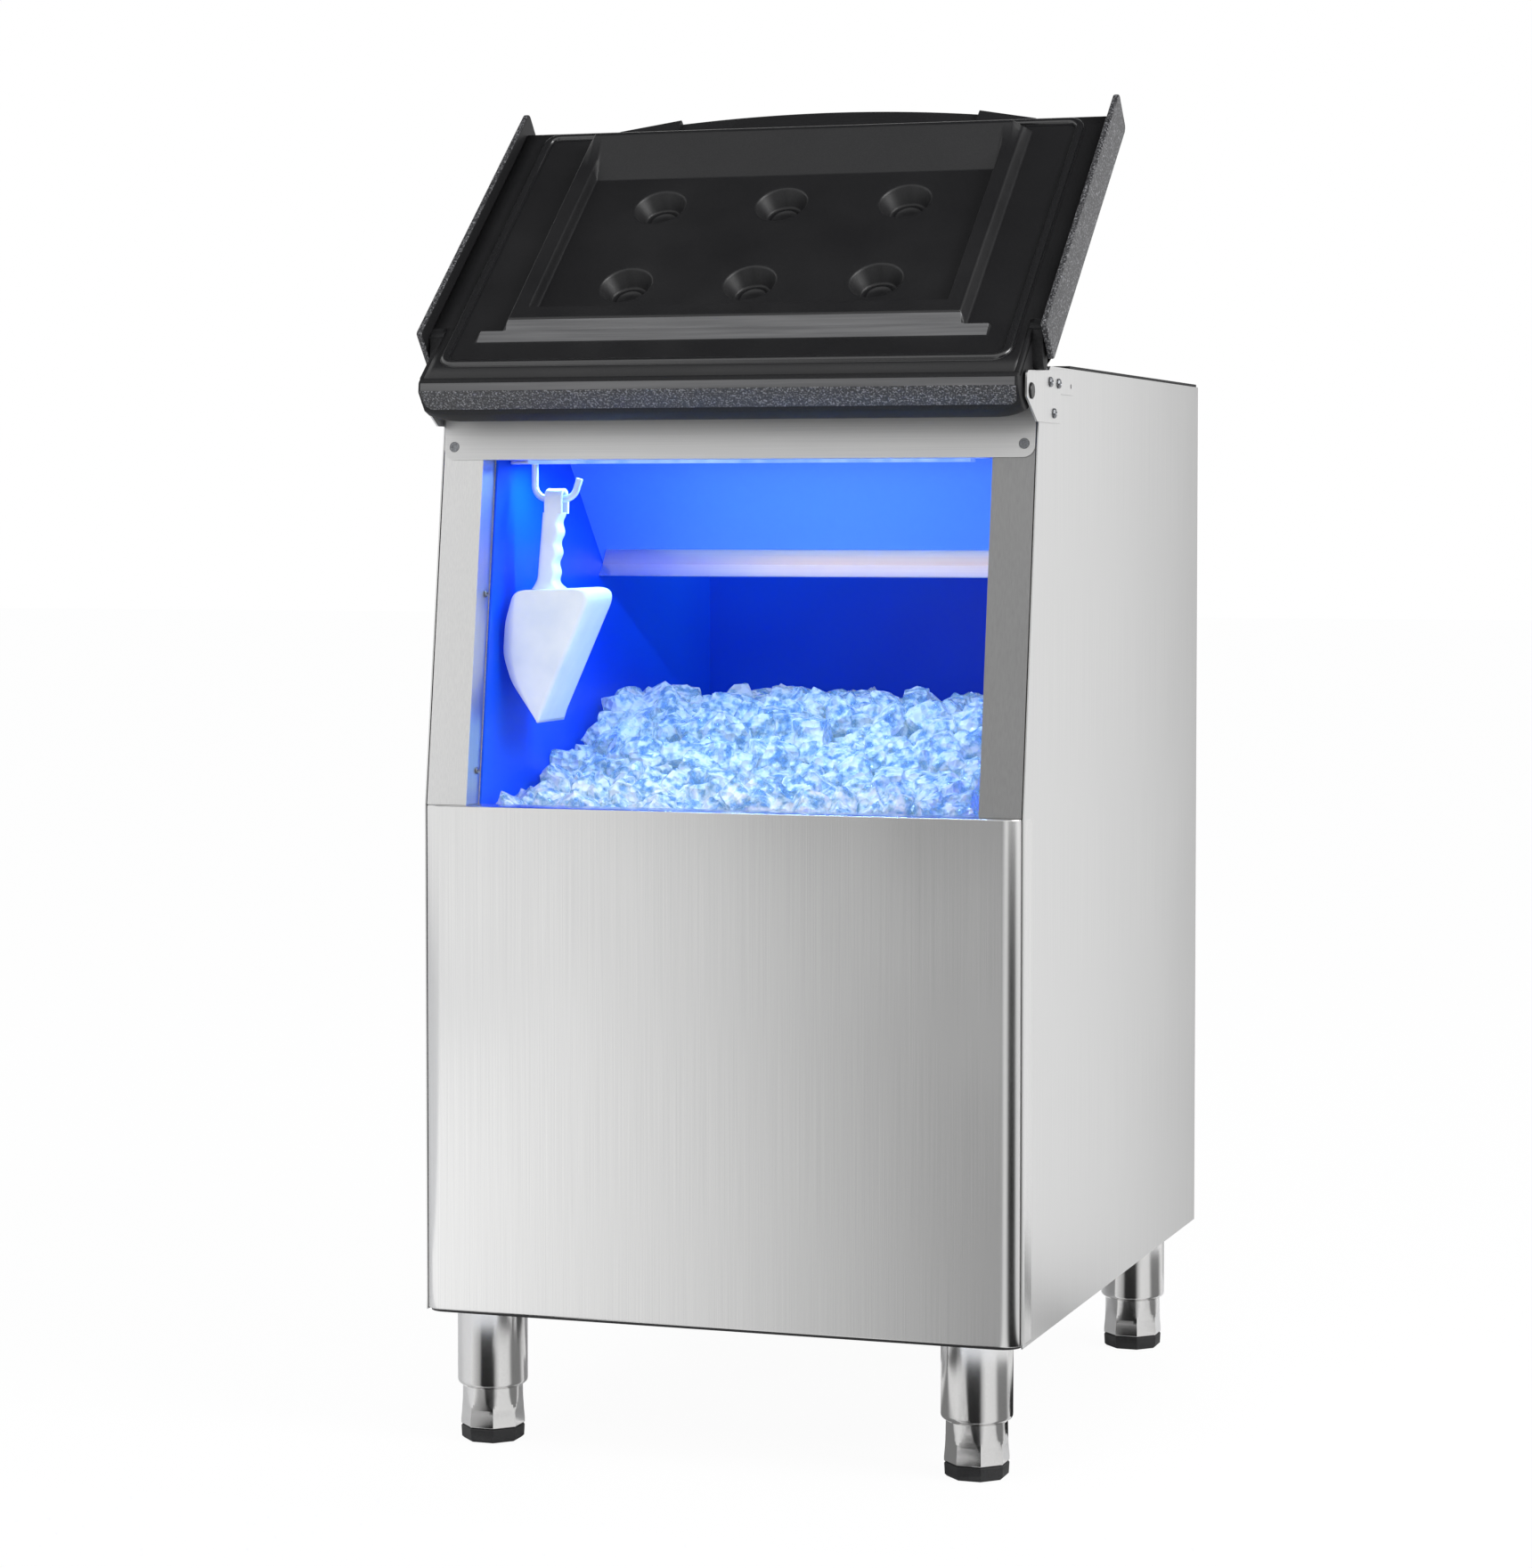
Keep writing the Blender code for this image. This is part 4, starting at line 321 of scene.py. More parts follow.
# Top: a flat steel ring round the opening where ice drops in, with a black foam strip on it that
# seals the ice maker's head.

repaint(brushed, "top_frame")
strip_foam, tree, shader = new_finish("closed_cell_strip", (0.02, 0.02, 0.021), 0.85)
cells = noise(tree, 1400)
mottle(tree, shader, cells, (0.010, 0.010, 0.011), (0.035, 0.035, 0.036))
relief(tree, shader, cells, 0.5, 0.0003)
repaint(strip_foam, "top_gasket")


# Deflector: a slanted sheet under the ice drop that throws the ice to the back, hung from the top's
# folded lip, with an angle along its lower edge. Its satin steel is coloured blue: painted blue light
# of the store's lamp.

satin, tree, shader = new_finish("deflector_painted_blue_light", (0.14, 0.36, 1.0), 0.45, 0.25)
mottle(tree, shader, noise(tree, (2.2, 3, 3), 1.0), (0.10, 0.32, 1.0), (0.17, 0.40, 1.0), 0.35, 0.65)
relief(tree, shader, noise(tree, (4, 900, 900)), 0.05, 0.00005)
repaint(satin, "baffle")
lip_steel = steel("deflector_lip_steel", (0.96, 0.80, 0.74), (1.0, 0.86, 0.78), (0.34, 0.40),
                  (4, 900, 900), 0.05)
repaint(lip_steel, "baffle_lip")


# Lamp: a row of blue-white lights in a white moulded housing behind the opening's upper edge, under
# a frosted lens that glows.

lens, tree, shader = new_finish("frosted_lens", (0.55, 0.75, 1.0), 0.3, 0.0, Emission_Strength=0.30)
dots = noise(tree, 60, 1.0)
glow = tint(tree, dots, (0.3, (0.20, 0.42, 1.0)), (0.7, (0.40, 0.62, 1.0)))
tree.links.new(glow, shader.inputs["Base Color"])
tree.links.new(glow, shader.inputs["Emission Color"])
repaint(lens, "led_lens")


# Front frame: two stiles with a flange folded into the opening, and a rail across the top, of the
# same brushed sheet, held by zinc plated screws.

repaint(brushed, "stile_left")
# The right stile takes a darker copy of the brushed steel: painted shade on that side of the frame.
painted_shade_steel = steel("right_stile_painted_shade", (0.36, 0.36, 0.36), (0.40, 0.40, 0.40), (0.36, 0.40),
               (900, 900, 5), 0.12)
repaint(painted_shade_steel, "stile_right")
rail_steel = steel("brushed_rail_steel", SHEET_DARK, SHEET_LIGHT, (0.46, 0.50), LEVEL_GRAIN, 0.12)
repaint(rail_steel, "top_rail")
zinc = steel("zinc_plated", (0.16, 0.165, 0.175), (0.32, 0.33, 0.35), (0.28, 0.40), 700)
repaint(zinc, "rail_screw_left", "rail_screw_right", "flange_screw_left_low", "flange_screw_left_high",
        "flange_screw_right_low", "flange_screw_right_high")


# Hinge brackets: a stamped steel plate on each side with a slot for the lid's pivot, held by three
# screws each.

repaint(brushed, "hinge_bracket_left", "hinge_bracket_right")
repaint(zinc, *("bracket_screw_%s_%d" % (side, i) for side in ("left", "right") for i in (1, 2, 3)))


# Lid shell: one black moulding with a speckled skin outside. It has a round brow along the hinge
# side, a wing on each side, a bow handle at the free edge, and two lugs that stop it when it is open.

HINGE_Y, HINGE_Z, LID_TILT = -0.316972, 0.950, math.radians(40.4)
BROW, FREE_EDGE, HANDLE, CURVE = -0.0219, 0.365, 0.4255, 0.355
LID_HALF, NECK_HALF, WING_IN, SEAT = 0.2945, 0.278, 0.289, 0.0267
BROW_ROUND, BROW_LEVEL, UNDER, SIDE_ROUND, SIDE_LEVEL = 0.0264, 0.0014, -0.025, 0.0445, 0.0165
BOW_HALF, BLOCK_HALF, HANDLE_HALF, HANDLE_LIP = 0.149, 0.207, 0.2155, 0.002
BOW_SAG, BLOCK_REACH, BLOCK_SLANT, CORNER_REACH = 0.0115, 0.414, 0.016 / 0.058, 0.398


def on_lid(x, reach, level):
    """Lid coordinates to the open lid's place: reach runs up along the lid from its hinge, level
    towards its inner side, both turned about X by the lid's tilt."""
    x, reach, level = np.broadcast_arrays(x, reach, level)
    return np.stack([x, HINGE_Y + reach * math.cos(LID_TILT) - level * math.sin(LID_TILT),
                     HINGE_Z + reach * math.sin(LID_TILT) + level * math.cos(LID_TILT)], -1)


def lid_under(x, reach):
    """The outer skin's level: a circle's at the brow, then flat, then an ellipse's up to the handle,
    and over the last 45 mm at each side an ellipse's up to the side."""
    round_in = np.clip(BROW_ROUND - (reach - BROW), 0, BROW_ROUND)
    low = BROW_LEVEL - np.sqrt(BROW_ROUND ** 2 - round_in ** 2)
    rise = np.clip((reach - CURVE) / (HANDLE - CURVE), 0, 1)
    low = np.where(reach > 0.01, UNDER + 0.021 * (1 - np.sqrt(1 - rise ** 2)), low)
    out = np.clip((np.abs(x) - (LID_HALF - SIDE_ROUND)) / SIDE_ROUND, 0, 1)
    return SIDE_LEVEL - (SIDE_LEVEL - low) * np.sqrt(1 - out ** 2)


def lid_ring(reach, half, top, edge, wall=0.0):
    """One cross section of the lid's body as a closed loop: the skin from left to right, a rounded
    corner, the side, a rounded corner, and back along the top, or along the wall's inner face."""
    bend = np.radians(np.linspace(0, 90, 5))
    span = np.linspace(-1, 1, 61)
    across = np.sin(span * math.pi / 2) * (half - edge)
    low = lid_under(across, reach)
    side_low = lid_under(np.float64(half - edge), reach)
    arc_x, arc_l = half - edge + edge * np.sin(bend), side_low + edge * (1 - np.cos(bend))
    top_x, top_l = half - edge + edge * np.cos(bend), top - edge + edge * np.sin(bend)
    x = np.concatenate([across, arc_x, top_x, -top_x[::-1], -arc_x[::-1]])
    level = np.concatenate([low, arc_l, top_l, top_l[::-1], arc_l[::-1]])
    if wall:
        inner_x = np.r_[half - wall, across[::-1] * (half - wall) / half, wall - half]
        inner_l = np.r_[top, np.minimum(low[::-1] + wall, top - 0.001), top]
        x = np.concatenate([across, arc_x, top_x, inner_x, -top_x[::-1], -arc_x[::-1]])
        level = np.concatenate([low, arc_l, top_l, inner_l, top_l[::-1], arc_l[::-1]])
    return on_lid(x, reach, level)


moulded, tree, shader = new_finish("speckled_black_moulding", (0.05, 0.05, 0.052), 0.5,
                                   Specular_IOR_Level=0.5)
specks = noise(tree, 620, 3.0)
tree.links.new(tint(tree, specks, (0.40, (0.020, 0.020, 0.022)), (0.54, (0.055, 0.055, 0.058)),
                    (0.66, (0.26, 0.26, 0.27))), shader.inputs["Base Color"])
tree.links.new(spread(tree, specks, 0.35, 0.65, 0.38, 0.60), shader.inputs["Roughness"])
relief(tree, shader, specks, 0.6, 0.0004)

smooth, tree, shader = new_finish("smooth_black_moulding", (0.016, 0.016, 0.017), 0.55,
                                  Specular_IOR_Level=0.2)
grains = noise(tree, 1100)
mottle(tree, shader, grains, (0.010, 0.010, 0.011), (0.022, 0.022, 0.023))
relief(tree, shader, grains, 0.10, 0.0002)


def rounded_loop(corners, steps=5):
    """A closed outline that turns left, its corners (a, b, radius) rounded by arcs: an arc's centre
    lies on the corner's bisector, at the radius over the sine of half the angle."""
    points = np.array([c[:2] for c in corners], float)
    loop = []
    for k, (a, b, radius) in enumerate(corners):
        back = points[k - 1] - points[k]
        ahead = points[(k + 1) % len(points)] - points[k]
        back, ahead = back / np.linalg.norm(back), ahead / np.linalg.norm(ahead)
        half = math.acos(np.clip(back @ ahead, -1, 1)) / 2
        centre = points[k] + (back + ahead) / np.linalg.norm(back + ahead) * radius / math.sin(half)
        first, last = (points[k] + run * radius / math.tan(half) - centre for run in (back, ahead))
        angle = math.atan2(first[0] * last[1] - first[1] * last[0], first @ last)
        turn = angle * np.linspace(0, 1, steps + 1)
        loop.append(centre + np.stack([first[0] * np.cos(turn) - first[1] * np.sin(turn),
                                       first[0] * np.sin(turn) + first[1] * np.cos(turn)], 1))
    return np.concatenate(loop)


pad = rounded_loop([(-0.2745, 0.0030, 0.008), (0.2745, 0.0030, 0.008), (0.2765, 0.0243, 0.001),
                    (-0.2765, 0.0243, 0.001)])
pads = [plate(pad, 0.0, 0.0006, 0.0003, lambda a, b, c: on_lid(a, BROW - c, b))]
make_piece("lid_brow_pad", pads, moulded, "lid", crease=40)
reaches = np.r_[0.048, np.linspace(0.06, CURVE, 8), np.linspace(CURVE + 0.002, FREE_EDGE, 4)]
trunk = surface(np.stack([lid_ring(reach, WING_IN + 0.001, SEAT, 0.0005, 0.0025) for reach in reaches]),
                wrap_columns=True)
span = np.linspace(-1, 1, 41) * WING_IN
wall_low = lid_under(span, FREE_EDGE) + 0.0006
end_wall = [on_lid(span, reach, level) for reach, level in (
    (FREE_EDGE - 0.0030, wall_low), (FREE_EDGE - 0.0030, SEAT), (FREE_EDGE, SEAT),
    (FREE_EDGE, wall_low))]


def handle_reach(x):
    """How far the handle's outline reaches at x: a bow in the middle, and slanted end blocks."""
    across = np.abs(x)
    bow = HANDLE - BOW_SAG * (across / BOW_HALF) ** 2
    block = BLOCK_REACH - (across - BOW_HALF) * BLOCK_SLANT
    corner = CORNER_REACH - np.clip(across - BLOCK_HALF, 0, 1)
    return np.where(across < BOW_HALF, bow, np.where(across < BLOCK_HALF, block, corner))


def handle_ring(x, top):
    """The handle cut across at x: along its underside, round its outer edge, and back on top."""
    root, end = FREE_EDGE - 0.012, handle_reach(x) - HANDLE_LIP
    under = np.linspace(root, end, 12)
    bend = np.radians(np.linspace(-90, 90, 9))
    foot = lid_under(np.float64(x), end)
    middle, half = (top + foot) / 2, (top - foot) / 2
    reach = np.r_[under, end + HANDLE_LIP * np.cos(bend), root]
    level = np.r_[lid_under(np.full(12, x), under), middle + half * np.sin(bend), top]
    return on_lid(x, reach, level)


def handle_part(left, right, top, count):
    """A stretch of the handle from one x to another."""
    return surface(np.stack([handle_ring(x, top) for x in np.linspace(left, right, count)]),
                   wrap_columns=True, caps=True)


def each_face(piece, kind):
    """The centres or the normals of a piece's faces, one in a row."""
    values = np.empty(3 * len(piece.data.polygons))
    piece.data.polygons.foreach_get(kind, values)
    return values.reshape(-1, 3)


handle = [handle_part(-HANDLE_HALF, HANDLE_HALF, 0.004, 90)]
handle += [handle_part(sign * BOW_HALF, sign * HANDLE_HALF, 0.009, 24) for sign in (-1, 1)]
make_piece("lid_handle", handle, smooth, "lid", crease=40)
wing = rounded_loop([(0.0385, 0.0020, 0.004), (0.3835, 0.0020, 0.006), (0.3835, 0.0430, 0.005),
                     (0.0385, 0.0430, 0.003)])
wings = [plate(wing, 0.0, LID_HALF - WING_IN, 0.0013,
               lambda r, l, t, s=sign: on_lid(s * (WING_IN + t), r, l)) for sign in (-1, 1)]
shell = make_piece("lid_moulding", [trunk, surface(np.stack(end_wall), wrap_rows=True), *wings],
                   moulded, "lid", ["lid_shell"], crease=40)
# The wings' inner faces, whose normals point at the middle, are smooth.
shell.data.materials.append(smooth)
facing, out = each_face(shell, "normal")[:, 0], each_face(shell, "center")[:, 0]
inner_faces = facing * out < -0.9 * np.abs(out)
shell.data.polygons.foreach_set("material_index", inner_faces.astype(int))


# Lid brow and lugs: the smooth black round along the hinge side, with a lug on each side that rests
# on the hinge bracket when the lid is open. They are one moulding with the shell.

NECK_EDGE, LUG_REACH, LUG_RADIUS, LUG_LONG, LUG_IN = 0.0018, 0.0255, 0.008, 0.0257, 0.2745
LUG_LOW = 0.9683 + LUG_RADIUS - HINGE_Z


def swept(path, section, up, closed=False):
    """A section carried along a path: its first coordinate runs along the path's direction crossed
    with up, its second along what is then square to both."""
    path, up = np.array(path, float), np.array(up, float)
    if closed:
        direction = np.roll(path, -1, 0) - np.roll(path, 1, 0)
    else:
        direction = np.gradient(path, axis=0)
    direction /= np.linalg.norm(direction, axis=1)[:, None]
    side = np.cross(direction, up)
    side /= np.linalg.norm(side, axis=1)[:, None]
    lift = np.cross(side, direction)
    section = np.array(section, float)
    points = (path[:, None] + section[None, :, 0, None] * side[:, None]
              + section[None, :, 1, None] * lift[:, None])
    return surface(points, wrap_rows=closed, wrap_columns=True, caps=not closed)


neck_rows = []
for angle in np.radians(np.linspace(0, 90, 5)):
    inset = NECK_EDGE * (1 - math.sin(angle))
    start = BROW + NECK_EDGE * (1 - math.cos(angle)) / 3
    neck_rows.append((start, NECK_HALF - inset, 0.0238 - inset / 3))
neck_rows += [(BROW + 0.0056, NECK_HALF, 0.0286), (BROW + 0.0066, NECK_HALF, 0.0292),
              (BROW + 0.0079, NECK_HALF, 0.0296), (-0.0112, NECK_HALF, 0.0297)]
neck_rows += [(reach, NECK_HALF, SEAT)
              for reach in (-0.0110, -0.004, 0.002, 0.008, 0.020, 0.034, 0.048)]
neck = surface(np.stack([lid_ring(*row, 0.0015) for row in neck_rows]), wrap_columns=True, caps=True)

lug_tilt = np.array([[math.cos(LID_TILT), math.sin(LID_TILT)],
                     [-math.sin(LID_TILT), math.cos(LID_TILT)]])
capsule = np.concatenate([quarter(LUG_REACH, LUG_LOW + LUG_LONG * (k > 1), LUG_RADIUS,
                                  180 + 90 * k, 6) for k in range(4)])
capsule = np.delete(capsule, (7, 21), 0) @ lug_tilt.T  # where two quarters share a point
plates = [(capsule, 0.013)]
for low, thickness in ((-0.011, 0.0035), (0.048, 0.0150)):
    plates.append(([(low, 0.0230), (0.062, 0.0230), (0.062, 0.0300), (low, 0.0300)], thickness))
parts = [neck]
for sign in (-1, 1):
    for outline, thickness in plates:
        parts.append(plate(outline, 0.0, thickness, 0.0006,
                           lambda r, l, t, s=sign: on_lid(s * (LUG_IN + t), r, l)))

# A thin lighter grey strip on the brow's chamfer: a painted highlight along that edge.
brow_highlight_finish, tree, shader = new_finish("brow_edge_painted_highlight", (0.11, 0.11, 0.112), 0.35, Specular_IOR_Level=0.5)
mottle(tree, shader, noise(tree, (6, 200, 200)), (0.08, 0.08, 0.082), (0.13, 0.13, 0.132))
section = [(0.0, 0.0006), (0.0040, 0.0054), (0.0048, 0.0056), (0.0050, 0.0052), (0.0003, 0.0002),
           (0.0, 0.0)]
path = [on_lid(x, BROW - 0.0002, 0.0240) for x in np.linspace(-0.2755, 0.2755, 3)]
edge_bar = swept(path, section, on_lid(0, 1, 0) - on_lid(0, 0, 0))
make_piece("lid_brow_edge", [edge_bar], brow_highlight_finish, "lid", crease=40)
make_piece("lid_brow", parts, smooth, "lid", ["lid_shell"], crease=40)


# Lid inner panel: a thin black sheet formed to a flat margin, a low step on the hinge side, raised
# rims round a well with six round dimples, and a slope at the free end. It is glued to the foam.

WELL, MARGIN, STEP, RIM, CREST = 0.0294, 0.030, 0.0333, 0.0405, 0.0499
WELL_SIDE, WELL_START, SLOPE = (0.195, 0.197), (0.079, 0.081), (0.2866, 0.3322)
STEP_RISE, STEP_FALL, STEP_SIDE = (0.0385, 0.0520), (0.0534, 0.0544), (0.238, 0.240)
RAMP, FAR_FALL = (0.0534, 0.0625), (0.3352, 0.345)
RIM_SIDE, CREST_SIDE = (0.212, 0.2175), (0.2048, 0.2175)
PANEL_X, PANEL_LOW, PANEL_HIGH, PANEL_SHEET = 0.2887, -0.0107, 0.3647, 0.0024
NOTCH_X, NOTCH_REACH = 0.2742, 0.0623
DIMPLE_X = [column * 0.195 * 0.6092 for column in (-1, 0, 1)]
DIMPLE_REACH = [0.079 + 0.2076 * 0.2115, 0.079 + 0.2076 * 0.7832]
PATCH = 0.030


def straight(value, low, high, at_low, at_high):
    """A straight rise or fall between two places, level on both sides of them."""
    return at_low + (at_high - at_low) * np.clip((value - low) / (high - low), 0, 1)


def panel_form(x, reach):
    """The sharp form: the highest of margin, step, rims and crest, with the well let into them."""
    across = np.abs(x)
    slope = straight(reach, *SLOPE, WELL, CREST)
    well = np.maximum(slope, np.maximum(straight(reach, *WELL_START, RIM, WELL),
                                        straight(across, *WELL_SIDE, WELL, RIM)))
    ramp = np.where(reach < RAMP[0], MARGIN, straight(reach, *RAMP, STEP, RIM))
    step = np.minimum(np.minimum(straight(reach, *STEP_RISE, MARGIN, STEP),
                                 straight(reach, *STEP_FALL, STEP, MARGIN)),
                      straight(across, *STEP_SIDE, STEP, MARGIN))
    far = straight(reach, *FAR_FALL, CREST, MARGIN)
    rims = np.minimum(np.minimum(ramp, straight(across, *RIM_SIDE, RIM, MARGIN)), far)
    crest = np.minimum(np.minimum(slope, straight(across, *CREST_SIDE, CREST, MARGIN)), far)
    inside = (reach >= WELL_START[0]) & (reach <= SLOPE[1]) & (across <= WELL_SIDE[1])
    return np.where(inside, well, np.maximum(np.maximum(MARGIN, step), np.maximum(rims, crest)))


def panel_level(x, reach):
    """The formed sheet: the sharp form averaged over a square of about 2 mm, which rounds each edge."""
    shifts = np.linspace(-0.0009, 0.0009, 5)
    return sum(panel_form(x + a, reach + b) for a in shifts for b in shifts) / 25


def lines(low, high, places, middles, more):
    """Grid lines one way: every 20 mm, closer round each place where the form changes, and 13 in the
    patch round each dimple's middle, with no others there."""
    near = [place + shift for place in places for shift in np.arange(-0.003, 0.00325, 0.0005)]
    ticks = np.r_[np.arange(low, high, 0.02), near, low, high]
    ticks = np.unique(np.round(ticks[(ticks >= low) & (ticks <= high)], 5))
    ticks = ticks[np.all([np.abs(ticks - middle) > PATCH for middle in middles], 0)]
    patches = [middle + np.linspace(-PATCH, PATCH, 13) for middle in middles]
    return np.unique(np.concatenate([ticks, *patches, more]))


inner_black, tree, shader = new_finish("black_formed_sheet", (0.010, 0.010, 0.011), 0.40,
                                       Specular_IOR_Level=0.55)
pebble = noise(tree, 900)
mottle(tree, shader, pebble, (0.007, 0.007, 0.008), (0.014, 0.014, 0.015))
sheen = noise(tree, 14, seed=5.0)
tree.links.new(spread(tree, sheen, 0.3, 0.7, 0.36, 0.50), shader.inputs["Roughness"])
relief(tree, shader, pebble, 0.12, 0.0002)

side_places = [*WELL_SIDE, *CREST_SIDE, RIM_SIDE[0], STEP_SIDE[1]]
xs = lines(-PANEL_X, PANEL_X, [sign * place for place in side_places for sign in (-1, 1)],
           DIMPLE_X, [-NOTCH_X, NOTCH_X])
reaches = lines(PANEL_LOW, PANEL_HIGH, [*STEP_RISE, *RAMP, 0.080, *SLOPE, *FAR_FALL],
                DIMPLE_REACH, [NOTCH_REACH])
grid_x, grid_r = np.meshgrid(xs, reaches)
points, quads, _ = surface(on_lid(grid_x, grid_r, panel_level(grid_x, grid_r)))
middle_x = grid_x.reshape(-1)[quads].mean(1)
middle_r = grid_r.reshape(-1)[quads].mean(1)
kept = ~((np.abs(middle_x) > NOTCH_X) & (middle_r < NOTCH_REACH))
for x in DIMPLE_X:
    for reach in DIMPLE_REACH:
        kept &= ~((np.abs(middle_x - x) < PATCH) & (np.abs(middle_r - reach) < PATCH))
parts = [(points, quads[kept], [])]

# Each dimple's patch runs from the panel's own grid points on a square, through a rounded mouth and
# a conical wall, to a flat floor with a small raised ring.
side = np.linspace(-PATCH, PATCH, 13)[:-1]
end = np.full(12, PATCH)
border = np.concatenate([np.stack(run, 1) for run in ((side, -end), (end, side), (-side, end),
                                                      (-end, -side))])
heading = border / np.linalg.norm(border, axis=1)[:, None]
wall = [(0.0262, 0), (0.0252, -0.0002), (0.0244, -0.0009), (0.0238, -0.0020), (0.0176, -0.0150),
        (0.0170, -0.0160), (0.0160, -0.0167), (0.0148, -0.0168), (0.0130, -0.0168), (0.0126, -0.0162),
        (0.0116, -0.0162), (0.0112, -0.0168), (0.0040, -0.0168), (0.0, -0.0168)]
radius, drop = np.array(wall).T
cup = np.concatenate([border[None], radius[:, None, None] * heading[None]])
drop = np.r_[0, drop]
for x in DIMPLE_X:
    for reach in DIMPLE_REACH:
        parts.append(surface(on_lid(x + cup[..., 0], reach + cup[..., 1], WELL + drop[:, None]),
                             wrap_columns=True))
panel = make_piece("lid_inner_sheet", parts, inner_black, "lid", ["lid_inner_panel"],
                   crease=60)

# The step's rise and the ramp up to the rim are a lighter grey satin band: a painted highlight.
ramp_highlight_finish, tree, shader = new_finish("ramp_painted_highlight", (0.12, 0.12, 0.122), 0.38, Specular_IOR_Level=0.5)
mottle(tree, shader, noise(tree, (9, 300, 300)), (0.10, 0.10, 0.102), (0.15, 0.15, 0.152))
panel.data.materials.append(ramp_highlight_finish)
middle = each_face(panel, "center") - (0, HINGE_Y, HINGE_Z)
reach = middle[:, 1] * math.cos(LID_TILT) + middle[:, 2] * math.sin(LID_TILT)
across = np.abs(middle[:, 0])
painted_highlight_faces = ((reach > STEP_RISE[0] + 0.0013) & (reach < RAMP[1] - 0.0013)
           & (across < np.where(reach < RAMP[0], 0.2385, 0.2135)))
panel.data.polygons.foreach_set("material_index", painted_highlight_faces.astype(int))
thickness = panel.modifiers.new("sheet", "SOLIDIFY")
thickness.thickness = PANEL_SHEET
thickness.offset = -1


# Lid seal and pivots: a hollow rubber bead pressed into the panel's margin, which meets the frame
# when the lid is shut, and a black pin on each side that turns in the bracket's slot.

SEAL_X, SEAL_LOW, SEAL_HIGH, SEAL_BEND, SEAL_TOP = 0.2625, 0.009, 0.3575, 0.012, 0.0337


def rounded_box(left, low, right, high, radius, steps=5):
    """A rectangle's outline with its corners rounded."""
    return rounded_loop([(left, low, radius), (right, low, radius), (right, high, radius),
                         (left, high, radius)], steps)


loop = rounded_box(-SEAL_X, SEAL_LOW, SEAL_X, SEAL_HIGH, SEAL_BEND, 8)
path = on_lid(loop[:, 0], loop[:, 1], 0.030)
lid_up = on_lid(0, 0, 1) - on_lid(0, 0, 0)
angle = np.linspace(0, math.pi, 9)
bead = zip(0.0040 * np.cos(angle), 0.0006 + (SEAL_TOP - 0.0306) * np.sin(angle))
section = [(0.0050, 0.0003), *bead, (-0.0050, 0.0003)]
seal, tree, shader = new_finish("seal_rubber", (0.012, 0.012, 0.013), 0.22, Specular_IOR_Level=1.0)
pores = noise(tree, 700)
mottle(tree, shader, pores, (0.009, 0.009, 0.010), (0.016, 0.016, 0.017))
relief(tree, shader, pores, 0.05, 0.0001)
make_piece("lid_seal_bead", [swept(path, section, lid_up, closed=True)], seal, "lid",
           ["lid_gasket"], crease=50)
repaint(inner_black, "lid_pivot_left", "lid_pivot_right")


# Hook: a bent rod of polished steel under the lamp housing, on a small plate, with its open end
# turned up towards the right.

HOOK_X, HOOK_Y, HOOK_Z = -0.19255, -0.228472, 0.8583
BEND_X, BEND_Z, BEND_R, ROD = -0.2008, 0.8708, 0.0125, 0.0032


def rod_bend(x, start, end, count):
    """An arc of the rod round a centre at x, from one angle to another in degrees."""
    angle = np.radians(np.linspace(start, end, count))
    return list(zip(x + BEND_R * np.cos(angle), BEND_Z + BEND_R * np.sin(angle)))


rod = [(BEND_X - BEND_R, z) for z in np.linspace(0.8920, 0.8750, 5)]
rod += rod_bend(BEND_X, 180, 270, 9) + rod_bend(BEND_X + 0.0165, 270, 345, 8)
rod += [(-0.1713 + 0.0018 * k, 0.8700 + 0.0067 * k) for k in (0.5, 1.0)]
path = [(x, HOOK_Y, z) for x, z in rod]
circle = np.radians(np.arange(0, 360, 22.5))
parts = [swept(path, ROD * np.stack([np.cos(circle), np.sin(circle)], 1), (0, 1, 0))]
foot = rounded_box(-0.2353, HOOK_Y - 0.008, -0.174, HOOK_Y + 0.008, 0.003)
parts.append(plate(foot, 0.8902, 0.8932, 0.0006, upright))
plated, tree, shader = new_finish("bright_hook_plating", (0.72, 0.84, 0.98), 0.28, 0.35)
mottle(tree, shader, noise(tree, 60), (0.66, 0.79, 0.95), (0.78, 0.88, 1.0))
make_piece("hook_rod", parts, plated, "cabinet", ["scoop_hook"], crease=45)


# Scoop: one moulding of white plastic, square across its back and open at the side, with a grip
# that has finger grooves and an eye for the hook.


def from_hook(x, y, z):
    """Places measured from the scoop's hanging point."""
    x, y, z = np.broadcast_arrays(x, y, z)
    return np.stack([HOOK_X + x, HOOK_Y + y, HOOK_Z + z], -1)


def along(points, count):
    """So many points at even steps along a run of points."""
    points = np.array(points, float)
    gone = np.r_[0, np.cumsum(np.linalg.norm(np.diff(points, axis=0), axis=1))]
    at = np.linspace(0, gone[-1], count)
    return np.stack([np.interp(at, gone, points[:, k]) for k in (0, 1)], 1)


white, tree, shader = new_finish("white_scoop_plastic", (0.80, 0.86, 0.97), 0.32,
                                 Specular_IOR_Level=0.5)
mottle(tree, shader, noise(tree, 26, 3.0), (0.72, 0.80, 0.94), (0.84, 0.90, 0.99))
relief(tree, shader, noise(tree, 500), 0.05, 0.0002)

SCOOP_HALF, SCOOP_WALL, FOLD = 0.033, 0.0025, 0.005
MOUTH_TOP, CORNER, LIP = (-0.0170, -0.0833), (0.0497, -0.0803), (-0.0058, -0.2048)


